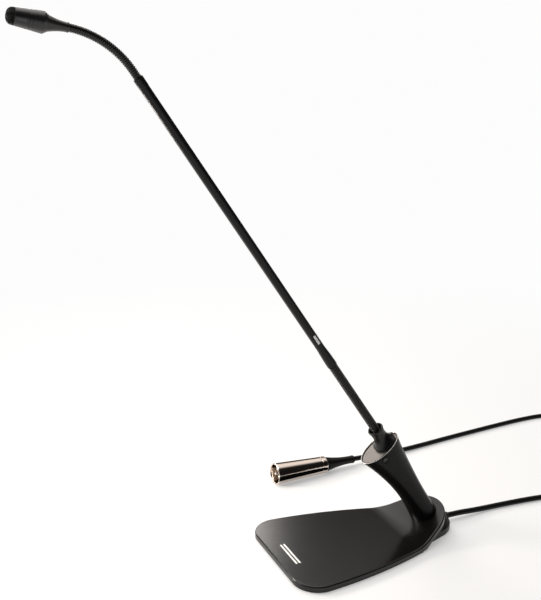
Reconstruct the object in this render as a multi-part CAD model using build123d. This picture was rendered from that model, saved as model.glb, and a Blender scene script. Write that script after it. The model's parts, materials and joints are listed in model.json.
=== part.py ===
from build123d import *
import math
import os

# Gooseneck podium microphone: a weighted desk base with a leaning hollow post, a plug-in
# gooseneck (bendable foot, straight stem, bendable top, capsule head) and an attached lead
# that ends in a three-pin plug. Millimetres, +Z up, the microphone faces -Y, and the object
# mirrors about x = 0. The origin lies on the resting face, midway along the base.

# Base plate, seen from above
PLATE_FRONT = -76.0  # y of the straight front edge
PLATE_LENGTH = 113.0  # front edge to the line where the plate turns up
FRONT_HALF = 52.4  # half widths at the front, the waist and the bend
WAIST_HALF = 45.6
WAIST_AT = 67.0  # waist's distance from the front edge
BEND_HALF = 33.7
CORNER_RADIUS = 20.0
PLATE_TOP = 5.2  # height of the plate's upper face
PLATE_SKIN = 1.4  # metal over the weight pocket
RIM_WIDTH = 4.5  # solid rim round the weight pocket
EDGE_ROUND = 1.3

# Upswept tongue behind the plate
TONGUE_ANGLE = 26.0
TONGUE_LENGTH = 38.4  # along its slope, from the bend to its round end
SHOULDER_HALF = 25.5  # half width where the round end begins
SHOULDER_ALONG = 20.5
SHOULDER_ROUND = 20.0
BEND_ROUND = 60.0  # rounding of the outline where the sides turn in at the bend
TONGUE_THICK = 4.6
BEND_RADIUS = 40.0

# Weight, bottom cover, pads and their screws
PAD_THICK = 1.2
PAD_INSET = 0.8
COVER_THICK = 1.0
POCKET_GAP = 0.25
POCKET_BACK = 8.0  # from the bend to the pocket's rear wall
BOSS_RADIUS = 3.5
BOSS_INSET = 13.0
BOSS_FRONT_SHIFT = 3.0  # front bosses, further in from the corners
BOSS_REAR_SPREAD = 4.0  # rear bosses, wider than the bend
SCREW_RADIUS = 1.25
SCREW_HEAD_RADIUS = 2.7
SCREW_GAP = 0.1
SCREW_DEPTH = 2.2

# Rear cover under the tongue
COVER_START = 6.0  # behind the bend
COVER_HALF = 27.0
COVER_ROUND = 20.3  # radius of its round end
COVER_TAIL = 41.8  # bend to the end of the cover
COVER_SKIRT = 5.5  # height where the sloping roof begins
ROOF_HEIGHT = 17.0
ROOF_INSET = 7.3
COVER_WALL = 1.8
COVER_FLOOR = 1.4

# Post: hollow, flattened in plan, wide at its top. Each section is
# (depth below the top, front reach, rear reach, half width).
LEAN = 34.5  # lean of the post and of the gooseneck, towards the front
POST_LENGTH = 76.7  # foot centre to top, along the lean
FOOT_ALONG = 21.0  # foot centre's place on the tongue
POST_SECTIONS = [
    (0.0, 17.5, 17.5, 11.2),
    (15.0, 13.4, 14.9, 10.7),
    (30.0, 10.5, 13.2, 10.2),
    (44.0, 8.9, 11.8, 10.1),
    (60.0, 8.9, 10.7, 10.9),
]
FOOT_FRONT = 11.2
FOOT_REAR = 10.8
FOOT_HALF = 13.5
POST_WALL = 1.6
POST_RIM = 1.2
POST_FLOOR = 5.0
RIM_PROUD = 0.4  # rim above the top plate
TOP_PLATE_THICK = 1.4
CABLE_HOLE_RADIUS = 2.6
POST_SCREW_SIDE = 6.5

# Gooseneck foot and its plug in the post
AXIS_BACK = 5.7  # gooseneck axis behind the post's centre line
COLLAR_HEIGHT = 16.5
COLLAR_FOOT_RADIUS = 9.3
COLLAR_NECK_RADIUS = 5.6
COLLAR_LIP_RADIUS = 5.9
COLLAR_BORE_RADIUS = 5.0
COLLAR_SEAT_DEPTH = 4.0  # solid foot that grips the flexible tube
COLLAR_GRIP_RADIUS = 2.8
COLLAR_STEP = 0.8  # the foot's lowest edge is this much smaller, to sit inside the post's rim
PLUG_RADIUS = 6.0
PLUG_WALL = 0.7
PLUG_DEPTH = 16.0
PLUG_INSERT_DEPTH = 8.0
SOCKET_GAP = 0.1
SOCKET_WALL = 0.8
SOCKET_DEPTH = 18.0
SOCKET_OUTER = PLUG_RADIUS + SOCKET_GAP + SOCKET_WALL
SOCKET_FLANGE_RADIUS = PLUG_RADIUS + 1.6
SOCKET_FLANGE_THICK = 1.2
CONTACT_RADIUS = 0.8
CONTACT_CIRCLE = 2.7
CONTACT_SLEEVE_WALL = 0.3

# Release button through the side of the post
BUTTON_BACK = -3.6
BUTTON_DEPTH = 4.6
BUTTON_RADIUS = 2.2
BUTTON_GAP = 0.1
BUTTON_FACE = 10.3  # x of its outer face
BUTTON_LENGTH = 2.6

# Flexible tubes, modelled as short links on ball ends
LOWER_RADIUS = 3.45
LOWER_BALL = 4.1
LOWER_LENGTH = 68.1  # visible length, collar lip to ferrule
LOWER_JOINTS = 6
UPPER_RADIUS = 2.65
UPPER_BALL = 3.2
UPPER_STRAIGHT = 4.5
UPPER_BEND_RADIUS = 58.6
UPPER_BEND = 45.2  # forward bend at rest, degrees
UPPER_JOINTS = 8
BALL_GAP = 0.15
JOINT_STANDOFF = 3.6  # first and last ball centres from the fittings
WIRE_BORE = 1.3
SPIGOT_GAP = 0.05

# Stem
FERRULE_LENGTH = 20.2
FERRULE_RADIUS = 3.75
STEM_LENGTH = 220.7  # ferrule to sleeve
STEM_RADIUS = 3.15
STEM_WALL = 0.65
SLEEVE_LENGTH = 6.8
SLEEVE_RADIUS = 3.25
SPIGOT_LENGTH = 6.0
WIRE_RADIUS = 1.1

# Head, along its own axis from the rear of its neck
NECK_LENGTH = 12.6
NECK_REAR_RADIUS = 2.8
NECK_FRONT_RADIUS = 5.0
HEAD_RADIUS = 6.55
HEAD_CHAMFER = 2.0
SHELL_END = 22.6
HEAD_LENGTH = 35.5
NOSE_RADIUS = 4.75
HEAD_WALL = 0.8
CAPSULE_RADIUS = 4.7
WINDOW_COUNT = 6

# Lead and its plug, placed from the rear end of the cover
COVER_END = PLATE_FRONT + PLATE_LENGTH + COVER_TAIL
CORD_RADIUS = 2.25
GLAND_HEIGHT = 5.0
GLAND_RADIUS = 3.1
GLAND_LENGTH = 7.5
GLAND_PROUD = 1.5
CORD_PLUG_MOUTH = (-115.8, COVER_END - 101.3, 9.5)
CORD_PLUG_YAW = 3.2
CORD_PLUG_TIP = 2.1  # nose-high angle of the tapered shell as it lies on the desk
CORD_SHELL_LENGTH = 51.6
CORD_SHELL_MOUTH = 9.5
CORD_SHELL_TAIL = 7.6
CORD_MOUTH_BORE = 8.1
CORD_MOUTH_DEPTH = 16.0
CORD_INSERT_DEPTH = 5.0
CORD_TAIL_BORE = 6.7
CORD_PIN_RADIUS = 1.2
CORD_PIN_ROOT = 0.95  # slimmer root of a pin, inside the insert
CORD_PIN_CIRCLE = 3.9
CORD_PIN_SETBACK = 5.0
BOOT_LENGTH = 31.0
BOOT_RADIUS = 7.0
BOOT_TAIL_RADIUS = 3.4
COIL_CENTRE = (-16.4, COVER_END + 169.2)
COIL_INNER = 16.75
COIL_OUTER = 34.75
COIL_LAYERS = 4
COIL_TURNS = 15.22

# Route of the lead, as (x, distance behind the cover, height): base to coil, then coil to plug;
# its last run lies in line with the plug
LEAD_ROUTE = [
    (0.0, 1.5, 5.0),
    (0.0, 13.2, 5.0),
    (-1.0, 29.2, 3.3),
    (-1.7, 45.2, 2.3),
    (-0.9, 65.2, 2.3),
    (0.8, 89.2, 2.3),
    (4.6, 115.2, 2.3),
    (10.6, 138.2, 2.3),
    (14.1, 158.1, 2.3),
]
RETURN_ROUTE = [
    (-0.2, 197.3, 15.7),
    (-22.9, 211.2, 13.6),
    (-44.0, 229.7, 8.2),
    (-65.5, 248.2, 3.9),
    (-89.0, 259.7, 2.5),
    (-113.0, 259.2, 2.3),
    (-132.5, 246.2, 2.3),
    (-142.0, 224.2, 2.3),
    (-142.2, 193.2, 2.3),
    (-139.4, 159.2, 2.3),
    (-136.0, 124.2, 2.3),
    (-132.6, 91.2, 2.3),
    (-128.8, 60.2, 2.3),
    (-124.7, 31.7, 3.2),
]
BOOT_RUN = 24.0  # last run of the lead, in line with the plug

X_AXIS = (1, 0, 0)
BEND_Y = PLATE_FRONT + PLATE_LENGTH
SLOPE = math.radians(TONGUE_ANGLE)
TILT = math.radians(LEAN)


def slope_point(along, height=0.0):
    """Point (y, z) at a distance up the tongue's upper face, and off it."""
    y = BEND_Y + along * math.cos(SLOPE) - height * math.sin(SLOPE)
    z = PLATE_TOP + along * math.sin(SLOPE) + height * math.cos(SLOPE)
    return y, z


FOOT_Y, FOOT_Z = slope_point(FOOT_ALONG)
TOP_Y = FOOT_Y - POST_LENGTH * math.sin(TILT)
TOP_Z = FOOT_Z + POST_LENGTH * math.cos(TILT)

# Local frames: tongue (x, up the slope, off it), post (x, rearwards, up the lean), gooseneck
def tipped(origin, degrees):
    """Frame whose Z axis leans forward of the vertical by an angle."""
    angle = math.radians(degrees)
    return Plane(origin=origin, x_dir=X_AXIS, z_dir=(0, -math.sin(angle), math.cos(angle)))


TONGUE = tipped((0, BEND_Y, PLATE_TOP), TONGUE_ANGLE)
POST = tipped((0, TOP_Y, TOP_Z), LEAN)
NECK = tipped(POST.from_local_coords((0, AXIS_BACK, 0)), LEAN)

written = []
os.makedirs("parts", exist_ok=True)


def keep(name, *solids):
    """Write one node, which may be a group of separate solids."""
    shape = solids[0] if len(solids) == 1 else Compound(children=list(solids))
    export_step(shape, f"parts/{name}.step")
    written.append(name)


def placed(plane, shape):
    """The shape, moved from a local frame to its place."""
    return plane.location * shape


def turned(*profile):
    """Solid of revolution about Z from (radius, height) points."""
    outline = Polyline(*[(radius, 0, height) for radius, height in profile], close=True)
    return revolve(make_face(outline), Axis.Z)


def rod(radius, low, high, x=0.0, y=0.0):
    """Upright cylinder between two heights."""
    return Pos(x, y, (low + high) / 2) * Cylinder(radius, high - low)


def block(low, high):
    """Box between two corners."""
    centre = [(a + b) / 2 for a, b in zip(low, high)]
    return Pos(*centre) * Box(*[b - a for a, b in zip(low, high)])


def ring_places(count, radius, start=0.0):
    """Evenly spaced (x, y) places on a circle about Z."""
    angles = [math.radians(start + 360 * step / count) for step in range(count)]
    return [(radius * math.cos(angle), radius * math.sin(angle)) for angle in angles]


# ---------------------------------------------------------------- base
def plan_face():
    """Outline of plate and tongue from above: tapering sides, round front corners and rear end."""
    shoulder_y = slope_point(SHOULDER_ALONG)[0]
    end_y = slope_point(TONGUE_LENGTH)[0]
    waist_y = PLATE_FRONT + WAIST_AT
    outline = [
        Line((-FRONT_HALF, PLATE_FRONT), (FRONT_HALF, PLATE_FRONT)),
        ThreePointArc((FRONT_HALF, PLATE_FRONT), (WAIST_HALF, waist_y), (BEND_HALF, BEND_Y)),
        Line((BEND_HALF, BEND_Y), (SHOULDER_HALF, shoulder_y)),
        ThreePointArc((SHOULDER_HALF, shoulder_y), (0, end_y), (-SHOULDER_HALF, shoulder_y)),
        Line((-SHOULDER_HALF, shoulder_y), (-BEND_HALF, BEND_Y)),
        ThreePointArc((-BEND_HALF, BEND_Y), (-WAIST_HALF, waist_y), (-FRONT_HALF, PLATE_FRONT)),
    ]
    face = make_face(outline)
    for y, radius in ((PLATE_FRONT, CORNER_RADIUS), (BEND_Y, BEND_ROUND), (shoulder_y, SHOULDER_ROUND)):
        face = fillet([vertex for vertex in face.vertices() if abs(vertex.Y - y) < 0.01], radius)
    return face


def side_face():
    """Side view of the casting: flat plate, bend and sloping tongue."""
    tip_y, tip_z = slope_point(TONGUE_LENGTH * 1.2)
    under_y, under_z = slope_point(TONGUE_LENGTH * 1.2, -TONGUE_THICK)
    ground_along = (PAD_THICK - slope_point(0, -TONGUE_THICK)[1]) / math.sin(SLOPE)
    ground_y = slope_point(ground_along, -TONGUE_THICK)[0]
    front = PLATE_FRONT - 1
    outline = Polyline(
        (0, front, PAD_THICK),
        (0, ground_y, PAD_THICK),
        (0, under_y, under_z),
        (0, tip_y, tip_z),
        (0, BEND_Y, PLATE_TOP),
        (0, front, PLATE_TOP),
        close=True,
    )
    face = make_face(outline)
    bend = [v for v in face.vertices() if abs(v.Y - BEND_Y) < 0.01 and abs(v.Z - PLATE_TOP) < 0.01]
    return fillet(bend, BEND_RADIUS)


def pocket_face(inset):
    """Outline of the weight pocket, inset from the plate's outline."""
    inner = offset(plan_face(), -inset)
    rear = BEND_Y - POCKET_BACK - inset + RIM_WIDTH
    front = PLATE_FRONT - 100
    room = Pos(0, (front + rear) / 2) * Rectangle(400, rear - front)
    return inner & room


BOSS_PLACES = [
    (side * (half - BOSS_INSET), y)
    for half, y in (
        (FRONT_HALF - BOSS_FRONT_SHIFT, PLATE_FRONT + BOSS_INSET + BOSS_FRONT_SHIFT),
        (BEND_HALF + BOSS_REAR_SPREAD, BEND_Y - POCKET_BACK - BOSS_INSET),
    )
    for side in (-1, 1)
]
BAR_LOW = PAD_THICK + COVER_THICK
SKIN_LOW = PLATE_TOP - PLATE_SKIN
POST_SCREW_PLACES = [(-POST_SCREW_SIDE, FOOT_ALONG), (POST_SCREW_SIDE, FOOT_ALONG)]


def base_casting():
    plan = extrude(plan_face(), 80)
    side = extrude(side_face(), 90, both=True)
    casting = plan & side
    casting = fillet([edge for edge in casting.edges() if on_upper_rim(edge)], EDGE_ROUND)
    pocket = extrude(Pos(0, 0, PAD_THICK) * pocket_face(RIM_WIDTH), SKIN_LOW - PAD_THICK)
    casting -= pocket
    for x, y in BOSS_PLACES:
        casting += rod(BOSS_RADIUS, BAR_LOW, SKIN_LOW + 0.2, x, y)
        casting -= rod(SCREW_RADIUS + SCREW_GAP, BAR_LOW, BAR_LOW + SCREW_DEPTH + SCREW_GAP, x, y)
    for x, along in POST_SCREW_PLACES:
        casting -= placed(TONGUE, rod(SCREW_RADIUS + SCREW_GAP, -TONGUE_THICK - 5, 1, x, along))
    casting -= placed(TONGUE, rod(CABLE_HOLE_RADIUS, -TONGUE_THICK - 5, 1, 0, FOOT_ALONG))
    return casting


def on_upper_rim(edge):
    """True for an edge that runs round the upper face, not across it."""
    middle = edge @ 0.5
    along = (middle.Y - BEND_Y) / math.cos(SLOPE)
    if middle.Y < BEND_Y:
        height = PLATE_TOP
    else:
        height = PLATE_TOP + along * math.sin(SLOPE)
    if middle.Z < height - 0.05 or middle.Z > height + 2.5:
        return False
    crosses = abs(middle.X) < 0.01 and edge.bounding_box().size.Y < 0.01 and middle.Y > PLATE_FRONT + 1
    return not crosses


def base_weight():
    face = pocket_face(RIM_WIDTH + POCKET_GAP)
    bar = extrude(Pos(0, 0, BAR_LOW) * face, SKIN_LOW - BAR_LOW)
    for x, y in BOSS_PLACES:
        bar -= rod(BOSS_RADIUS + POCKET_GAP, BAR_LOW - 1, SKIN_LOW + 1, x, y)
    return bar


def screw_seat(gap=0.0):
    """Countersunk head, from the underside of the bottom cover upwards."""
    return turned(
        (0, PAD_THICK),
        (SCREW_HEAD_RADIUS + gap, PAD_THICK),
        (SCREW_RADIUS + gap, BAR_LOW),
        (0, BAR_LOW),
    )


def bottom_cover():
    cover = extrude(Pos(0, 0, PAD_THICK) * pocket_face(RIM_WIDTH + POCKET_GAP), COVER_THICK)
    for x, y in BOSS_PLACES:
        cover -= Pos(x, y, 0) * screw_seat(SCREW_GAP)
    return cover


def base_screw():
    return screw_seat() + rod(SCREW_RADIUS, BAR_LOW, BAR_LOW + SCREW_DEPTH)


def cover_outline(end_radius):
    """Outline of the rear cover: straight sides that run tangent into a round end."""
    centre_y = BEND_Y + COVER_TAIL - COVER_ROUND
    start_y = BEND_Y + COVER_START
    reach = math.hypot(COVER_HALF, centre_y - start_y)
    angle = math.atan2(start_y - centre_y, COVER_HALF) + math.acos(end_radius / reach)
    side = (end_radius * math.cos(angle), centre_y + end_radius * math.sin(angle))
    return make_face(
        [
            Line((-COVER_HALF, start_y), (COVER_HALF, start_y)),
            Line((COVER_HALF, start_y), side),
            ThreePointArc(side, (0, centre_y + end_radius), (-side[0], side[1])),
            Line((-side[0], side[1]), (-COVER_HALF, start_y)),
        ]
    )


def cover_body(inset):
    """Closed body of the rear cover, or of its cavity when inset."""
    skirt_face = offset(cover_outline(COVER_ROUND), -inset)
    roof_face = offset(cover_outline(COVER_ROUND - ROOF_INSET), -inset)
    low = PAD_THICK if inset == 0 else PAD_THICK + COVER_FLOOR
    skirt = extrude(Pos(0, 0, low) * skirt_face, COVER_SKIRT - low)
    roof = loft([Pos(0, 0, COVER_SKIRT) * skirt_face, Pos(0, 0, ROOF_HEIGHT) * roof_face])
    body = skirt + roof
    above = placed(TONGUE, block((-100, -100, -TONGUE_THICK), (100, 100, 60)))
    return body - above


def rear_cover():
    cover = cover_body(0) - cover_body(COVER_WALL)
    end_y = BEND_Y + COVER_TAIL
    hole = Pos(0, end_y, GLAND_HEIGHT) * Rot(90, 0, 0) * Cylinder(GLAND_RADIUS + SPIGOT_GAP, 16)
    cover -= hole
    return cover.solids().sort_by(SortBy.VOLUME)[-1]


def rubber_pads():
    plate = offset(plan_face(), -PAD_INSET)
    front = plate & Pos(0, PLATE_FRONT + (PLATE_LENGTH - 1) / 2) * Rectangle(400, PLATE_LENGTH - 1)
    rear = offset(cover_outline(COVER_ROUND), -PAD_INSET)
    return extrude(front, PAD_THICK), extrude(rear, PAD_THICK)


# ---------------------------------------------------------------- post
def post_rings(shrink):
    """Post sections as faces in the post's frame, made smaller by a wall."""
    faces = []
    foot = (POST_LENGTH + 6.0, FOOT_FRONT, FOOT_REAR, FOOT_HALF)
    for depth, front, rear, half in POST_SECTIONS + [foot]:
        place = Pos(0, (rear - front) / 2, -depth)
        faces.append(place * Ellipse(half - shrink, (front + rear) / 2 - shrink))
    return faces


def top_outline(inset):
    """The post's top edge, made smaller by an inset."""
    front, rear, half = POST_SECTIONS[0][1:]
    return Pos(0, (rear - front) / 2, 0) * Ellipse(half - inset, (front + rear) / 2 - inset)


PLATE_BOTTOM = Pos(0, 0, -RIM_PROUD - TOP_PLATE_THICK)


def post_shell():
    outer = loft(post_rings(0))
    inner = loft(post_rings(POST_WALL))
    tongue_side = POST.location.inverse() * TONGUE.location
    below_foot = tongue_side * block((-100, -100, -60), (100, 100, 0))
    below_floor = tongue_side * block((-100, -100, -60), (100, 100, POST_FLOOR))
    mouth = extrude(PLATE_BOTTOM * top_outline(POST_RIM), RIM_PROUD + TOP_PLATE_THICK + 1)
    shell = outer - below_foot - (inner - below_floor) - mouth
    button_place = Pos(BUTTON_FACE, BUTTON_BACK, -BUTTON_DEPTH) * Rot(0, 90, 0)
    shell -= button_place * Cylinder(BUTTON_RADIUS + BUTTON_GAP, 14)
    for x, along in POST_SCREW_PLACES:
        shell -= tongue_side * rod(SCREW_RADIUS + SCREW_GAP, -1, POST_FLOOR - 0.6, x, along)
    shell -= tongue_side * rod(CABLE_HOLE_RADIUS, -1, POST_FLOOR + 1, 0, FOOT_ALONG)
    flange_low = PLATE_LOW - SOCKET_FLANGE_THICK
    socket_room = rod(SOCKET_OUTER + SPIGOT_GAP, SOCKET_LOW - SPIGOT_GAP, PLATE_LOW)
    socket_room += rod(SOCKET_FLANGE_RADIUS + SPIGOT_GAP, flange_low - SPIGOT_GAP, PLATE_LOW)
    return placed(POST, shell) - placed(NECK, socket_room)


def post_top_plate():
    plate = extrude(PLATE_BOTTOM * top_outline(POST_RIM + SPIGOT_GAP), TOP_PLATE_THICK)
    plate -= rod(PLUG_RADIUS + 2 * SOCKET_GAP, -10, 10, 0, AXIS_BACK)
    return placed(POST, plate)


def post_screws():
    """Two screws up through the tongue into the post's solid foot."""
    low = -TONGUE_THICK
    screw = turned(
        (0, low - 1.6),
        (SCREW_HEAD_RADIUS, low - 1.6),
        (SCREW_HEAD_RADIUS, low),
        (SCREW_RADIUS, low),
        (SCREW_RADIUS, POST_FLOOR - 1.0),
        (0, POST_FLOOR - 1.0),
    )
    return [placed(TONGUE, Pos(x, along, 0) * screw) for x, along in POST_SCREW_PLACES]


# ---------------------------------------------------------------- gooseneck foot, plug, socket
SEAT = -RIM_PROUD
PLUG_LOW = SEAT - PLUG_DEPTH
PLATE_LOW = SEAT - TOP_PLATE_THICK
SOCKET_LOW = PLATE_LOW - SOCKET_DEPTH
INSERT_LOW = SEAT - 2.0 - PLUG_INSERT_DEPTH
CONTACT_PLACES = ring_places(3, CONTACT_CIRCLE, 90)


def collar():
    """Trumpet-shaped collar: wide foot, slim neck and a small lip round an open mouth."""
    return placed(
        NECK,
        turned(
            (COLLAR_GRIP_RADIUS + SPIGOT_GAP, SEAT),
            (COLLAR_FOOT_RADIUS - COLLAR_STEP, SEAT),
            (COLLAR_FOOT_RADIUS - COLLAR_STEP, SEAT + RIM_PROUD + 0.1),
            (COLLAR_FOOT_RADIUS, SEAT + RIM_PROUD + 0.4),
            (COLLAR_FOOT_RADIUS, SEAT + 1.8),
            (COLLAR_FOOT_RADIUS - 1.3, SEAT + 3.0),
            (COLLAR_FOOT_RADIUS - 2.4, SEAT + 5.0),
            (COLLAR_NECK_RADIUS + 0.6, SEAT + 7.6),
            (COLLAR_NECK_RADIUS, COLLAR_HEIGHT - 5.0),
            (COLLAR_NECK_RADIUS, COLLAR_HEIGHT - 2.2),
            (COLLAR_LIP_RADIUS, COLLAR_HEIGHT - 1.2),
            (COLLAR_LIP_RADIUS, COLLAR_HEIGHT - 0.3),
            (COLLAR_LIP_RADIUS - 0.3, COLLAR_HEIGHT),
            (COLLAR_BORE_RADIUS, COLLAR_HEIGHT),
            (COLLAR_BORE_RADIUS, SEAT + COLLAR_SEAT_DEPTH),
            (COLLAR_GRIP_RADIUS + SPIGOT_GAP, SEAT + COLLAR_SEAT_DEPTH),
        ),
    )


def plug_housing():
    inner = PLUG_RADIUS - PLUG_WALL
    roof = SEAT - 2.0
    return placed(
        NECK,
        turned(
            (0, SEAT),
            (PLUG_RADIUS, SEAT),
            (PLUG_RADIUS, PLUG_LOW),
            (inner, PLUG_LOW),
            (inner, roof),
            (0, roof),
        ),
    )


def plug_insert():
    insert = rod(PLUG_RADIUS - PLUG_WALL - SPIGOT_GAP, INSERT_LOW, SEAT - 2)
    for x, y in CONTACT_PLACES:
        insert -= rod(CONTACT_RADIUS + SPIGOT_GAP, INSERT_LOW - 1, SEAT - 4, x, y)
    return placed(NECK, insert)


def plug_contacts():
    return [placed(NECK, rod(CONTACT_RADIUS, PLUG_LOW + 1, SEAT - 4, x, y)) for x, y in CONTACT_PLACES]


def socket_housing():
    bore = PLUG_RADIUS + SOCKET_GAP
    return placed(
        NECK,
        turned(
            (bore, PLATE_LOW),
            (SOCKET_FLANGE_RADIUS, PLATE_LOW),
            (SOCKET_FLANGE_RADIUS, PLATE_LOW - SOCKET_FLANGE_THICK),
            (SOCKET_OUTER, PLATE_LOW - SOCKET_FLANGE_THICK),
            (SOCKET_OUTER, SOCKET_LOW),
            (0, SOCKET_LOW),
            (0, SOCKET_LOW + 1.5),
            (bore, SOCKET_LOW + 1.5),
        ),
    )


def socket_insert():
    insert = rod(PLUG_RADIUS - PLUG_WALL - 0.3, SOCKET_LOW + 1.5, INSERT_LOW - 0.4)
    bore = CONTACT_RADIUS + SOCKET_GAP + CONTACT_SLEEVE_WALL
    for x, y in CONTACT_PLACES:
        insert -= rod(bore, SOCKET_LOW + 2.5, INSERT_LOW, x, y)
    return placed(NECK, insert)


def socket_contacts():
    bore = CONTACT_RADIUS + SOCKET_GAP
    outer = bore + CONTACT_SLEEVE_WALL - SPIGOT_GAP
    low = SOCKET_LOW + 2.5
    sleeve = turned((bore, low), (outer, low), (outer, INSERT_LOW - 0.6), (bore, INSERT_LOW - 0.6))
    return [placed(NECK, Pos(x, y, 0) * sleeve) for x, y in CONTACT_PLACES]


BUTTON_CENTRE = POST.from_local_coords((BUTTON_FACE, BUTTON_BACK, -BUTTON_DEPTH))
BUTTON = Plane(origin=BUTTON_CENTRE, x_dir=POST.y_dir, z_dir=X_AXIS)
SLIDE_END = 15.3  # button face to the far end of the latch slide


def release_button():
    """Round button with a dished face and an inner flange that stops it in its hole."""
    flange = BUTTON_RADIUS + 0.4
    return placed(
        BUTTON,
        turned(
            (0, -0.3),
            (BUTTON_RADIUS - 0.9, -0.3),
            (BUTTON_RADIUS - 0.6, 0),
            (BUTTON_RADIUS, 0),
            (BUTTON_RADIUS, -BUTTON_LENGTH),
            (flange, -BUTTON_LENGTH),
            (flange, -BUTTON_LENGTH - 0.8),
            (0, -BUTTON_LENGTH - 0.8),
        ),
    )


def latch_slide():
    return placed(BUTTON, block((-1.1, -0.9, -SLIDE_END), (1.0, 0.9, -BUTTON_LENGTH - 0.8)))


def button_spring():
    """Outer shape of the small coil spring behind the slide."""
    low = -SLIDE_END - 2.0
    return placed(BUTTON, turned((0.8, low), (1.4, low), (1.4, -SLIDE_END), (0.8, -SLIDE_END)))


def circuit_board():
    return placed(NECK, block((-0.6, -8.0, SOCKET_LOW - 26), (0.6, 3.0, SOCKET_LOW)))


def board_parts():
    """Electrolytic capacitor, transformer block and chip on the board's two faces."""
    can = Pos(3.1, -3.5, SOCKET_LOW - 7.5) * Cylinder(2.5, 7.0)
    core = block((0.6, -7.0, SOCKET_LOW - 24), (4.6, 1.0, SOCKET_LOW - 13.5))
    chip = block((-2.0, -5.5, SOCKET_LOW - 16), (-0.6, 0.5, SOCKET_LOW - 7))
    return [placed(NECK, piece) for piece in (can, core, chip)]


# ---------------------------------------------------------------- flexible tubes and stem
def ball_arc(ball, centre, first, last):
    """Arc of a ball about a height on the Z axis, between two radii."""

    def at(radius):
        return (radius, 0, centre + math.sqrt(ball**2 - radius**2))

    return ThreePointArc(at(first), at((first + last) / 2), at(last))


def spun(bottom, outer, top):
    """Hollow solid from its bottom edge or arc, its outer points and its top edge or arc."""
    points = [bottom @ 1, *[(radius, 0, height) for radius, height in outer], top @ 0]
    walls = [Line(a, b) for a, b in zip(points, points[1:])]
    return revolve(make_face([bottom, *walls, top, Line(top @ 1, bottom @ 0)]), Axis.Z)


def link(length, radius, ball):
    """Link of a flexible tube: hollow socket at its foot, dome at its top, bore for the wires."""
    socket = ball_arc(ball + BALL_GAP, 0, WIRE_BORE, radius)
    return spun(socket, [], ball_arc(ball, length, radius, WIRE_BORE))


def root_stub(low, high, radius, ball, spigot, spigot_low):
    """Fixed start of a flexible tube: a spigot, then the tube and its first dome."""
    bottom = Line((WIRE_BORE, 0, spigot_low), (spigot, 0, spigot_low))
    return spun(bottom, [(spigot, low), (radius, low)], ball_arc(ball, high, radius, WIRE_BORE))


def end_stub(length, radius, ball, spigot, spigot_length):
    """Fixed end of a flexible tube: its last socket, then a spigot for the next part."""
    top = Line((spigot, 0, length + spigot_length), (WIRE_BORE, 0, length + spigot_length))
    bottom = ball_arc(ball + BALL_GAP, 0, WIRE_BORE, radius)
    return spun(bottom, [(radius, length), (spigot, length)], top)


LOWER_FIRST = COLLAR_HEIGHT + JOINT_STANDOFF
FERRULE_LOW = COLLAR_HEIGHT + LOWER_LENGTH
LOWER_LINK = (LOWER_LENGTH - 2 * JOINT_STANDOFF) / (LOWER_JOINTS - 1)
STEM_LOW = FERRULE_LOW + FERRULE_LENGTH
STEM_HIGH = STEM_LOW + STEM_LENGTH
FLEX_LOW = STEM_HIGH + SLEEVE_LENGTH
SPIGOT_RADIUS = STEM_RADIUS - STEM_WALL - SPIGOT_GAP
FLEX_SPIGOT_RADIUS = UPPER_RADIUS - 0.5
TURN_STEP = UPPER_BEND / UPPER_JOINTS
HALF_LINK = UPPER_BEND_RADIUS * math.tan(math.radians(TURN_STEP / 2))
FIRST_UPPER = FLEX_LOW + UPPER_STRAIGHT + HALF_LINK


def upper_centres():
    """Ball centres (rearwards, up) of the upper flexible tube in the gooseneck's frame."""
    points = [(0.0, FIRST_UPPER)]
    for step in range(1, UPPER_JOINTS):
        turn = math.radians(step * TURN_STEP)
        back, up = points[-1]
        points.append((back - 2 * HALF_LINK * math.sin(turn), up + 2 * HALF_LINK * math.cos(turn)))
    return points


UPPER_CENTRES = upper_centres()


def turned_frame(centre, degrees):
    """Frame at a point of the gooseneck's plane, tipped forward of the stem by an angle."""
    return tipped(NECK.from_local_coords((0, centre[0], centre[1])), LEAN + degrees)


HEAD_JOINT = turned_frame(UPPER_CENTRES[-1], UPPER_BEND)
HEAD = Plane(origin=HEAD_JOINT.from_local_coords((0, 0, HALF_LINK)), x_dir=X_AXIS, z_dir=HEAD_JOINT.z_dir)


def lower_ferrule():
    spigot_end = STEM_LOW + SPIGOT_LENGTH
    socket = LOWER_RADIUS - 0.8 + SPIGOT_GAP
    return placed(
        NECK,
        turned(
            (socket, FERRULE_LOW),
            (FERRULE_RADIUS - 0.2, FERRULE_LOW),
            (FERRULE_RADIUS, FERRULE_LOW + 0.3),
            (FERRULE_RADIUS, FERRULE_LOW + 1.4),
            (STEM_RADIUS, STEM_LOW),
            (SPIGOT_RADIUS, STEM_LOW),
            (SPIGOT_RADIUS, spigot_end),
            (WIRE_BORE, spigot_end),
            (WIRE_BORE, FERRULE_LOW + SPIGOT_LENGTH + SPIGOT_GAP),
            (socket, FERRULE_LOW + SPIGOT_LENGTH + SPIGOT_GAP),
        ),
    )


def stem_tube():
    bore = rod(STEM_RADIUS - STEM_WALL, STEM_LOW - 1, STEM_HIGH + 1)
    return placed(NECK, rod(STEM_RADIUS, STEM_LOW, STEM_HIGH) - bore)


def stem_wires():
    return placed(NECK, rod(WIRE_RADIUS, FERRULE_LOW + 1, FLEX_LOW - 1))


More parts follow.
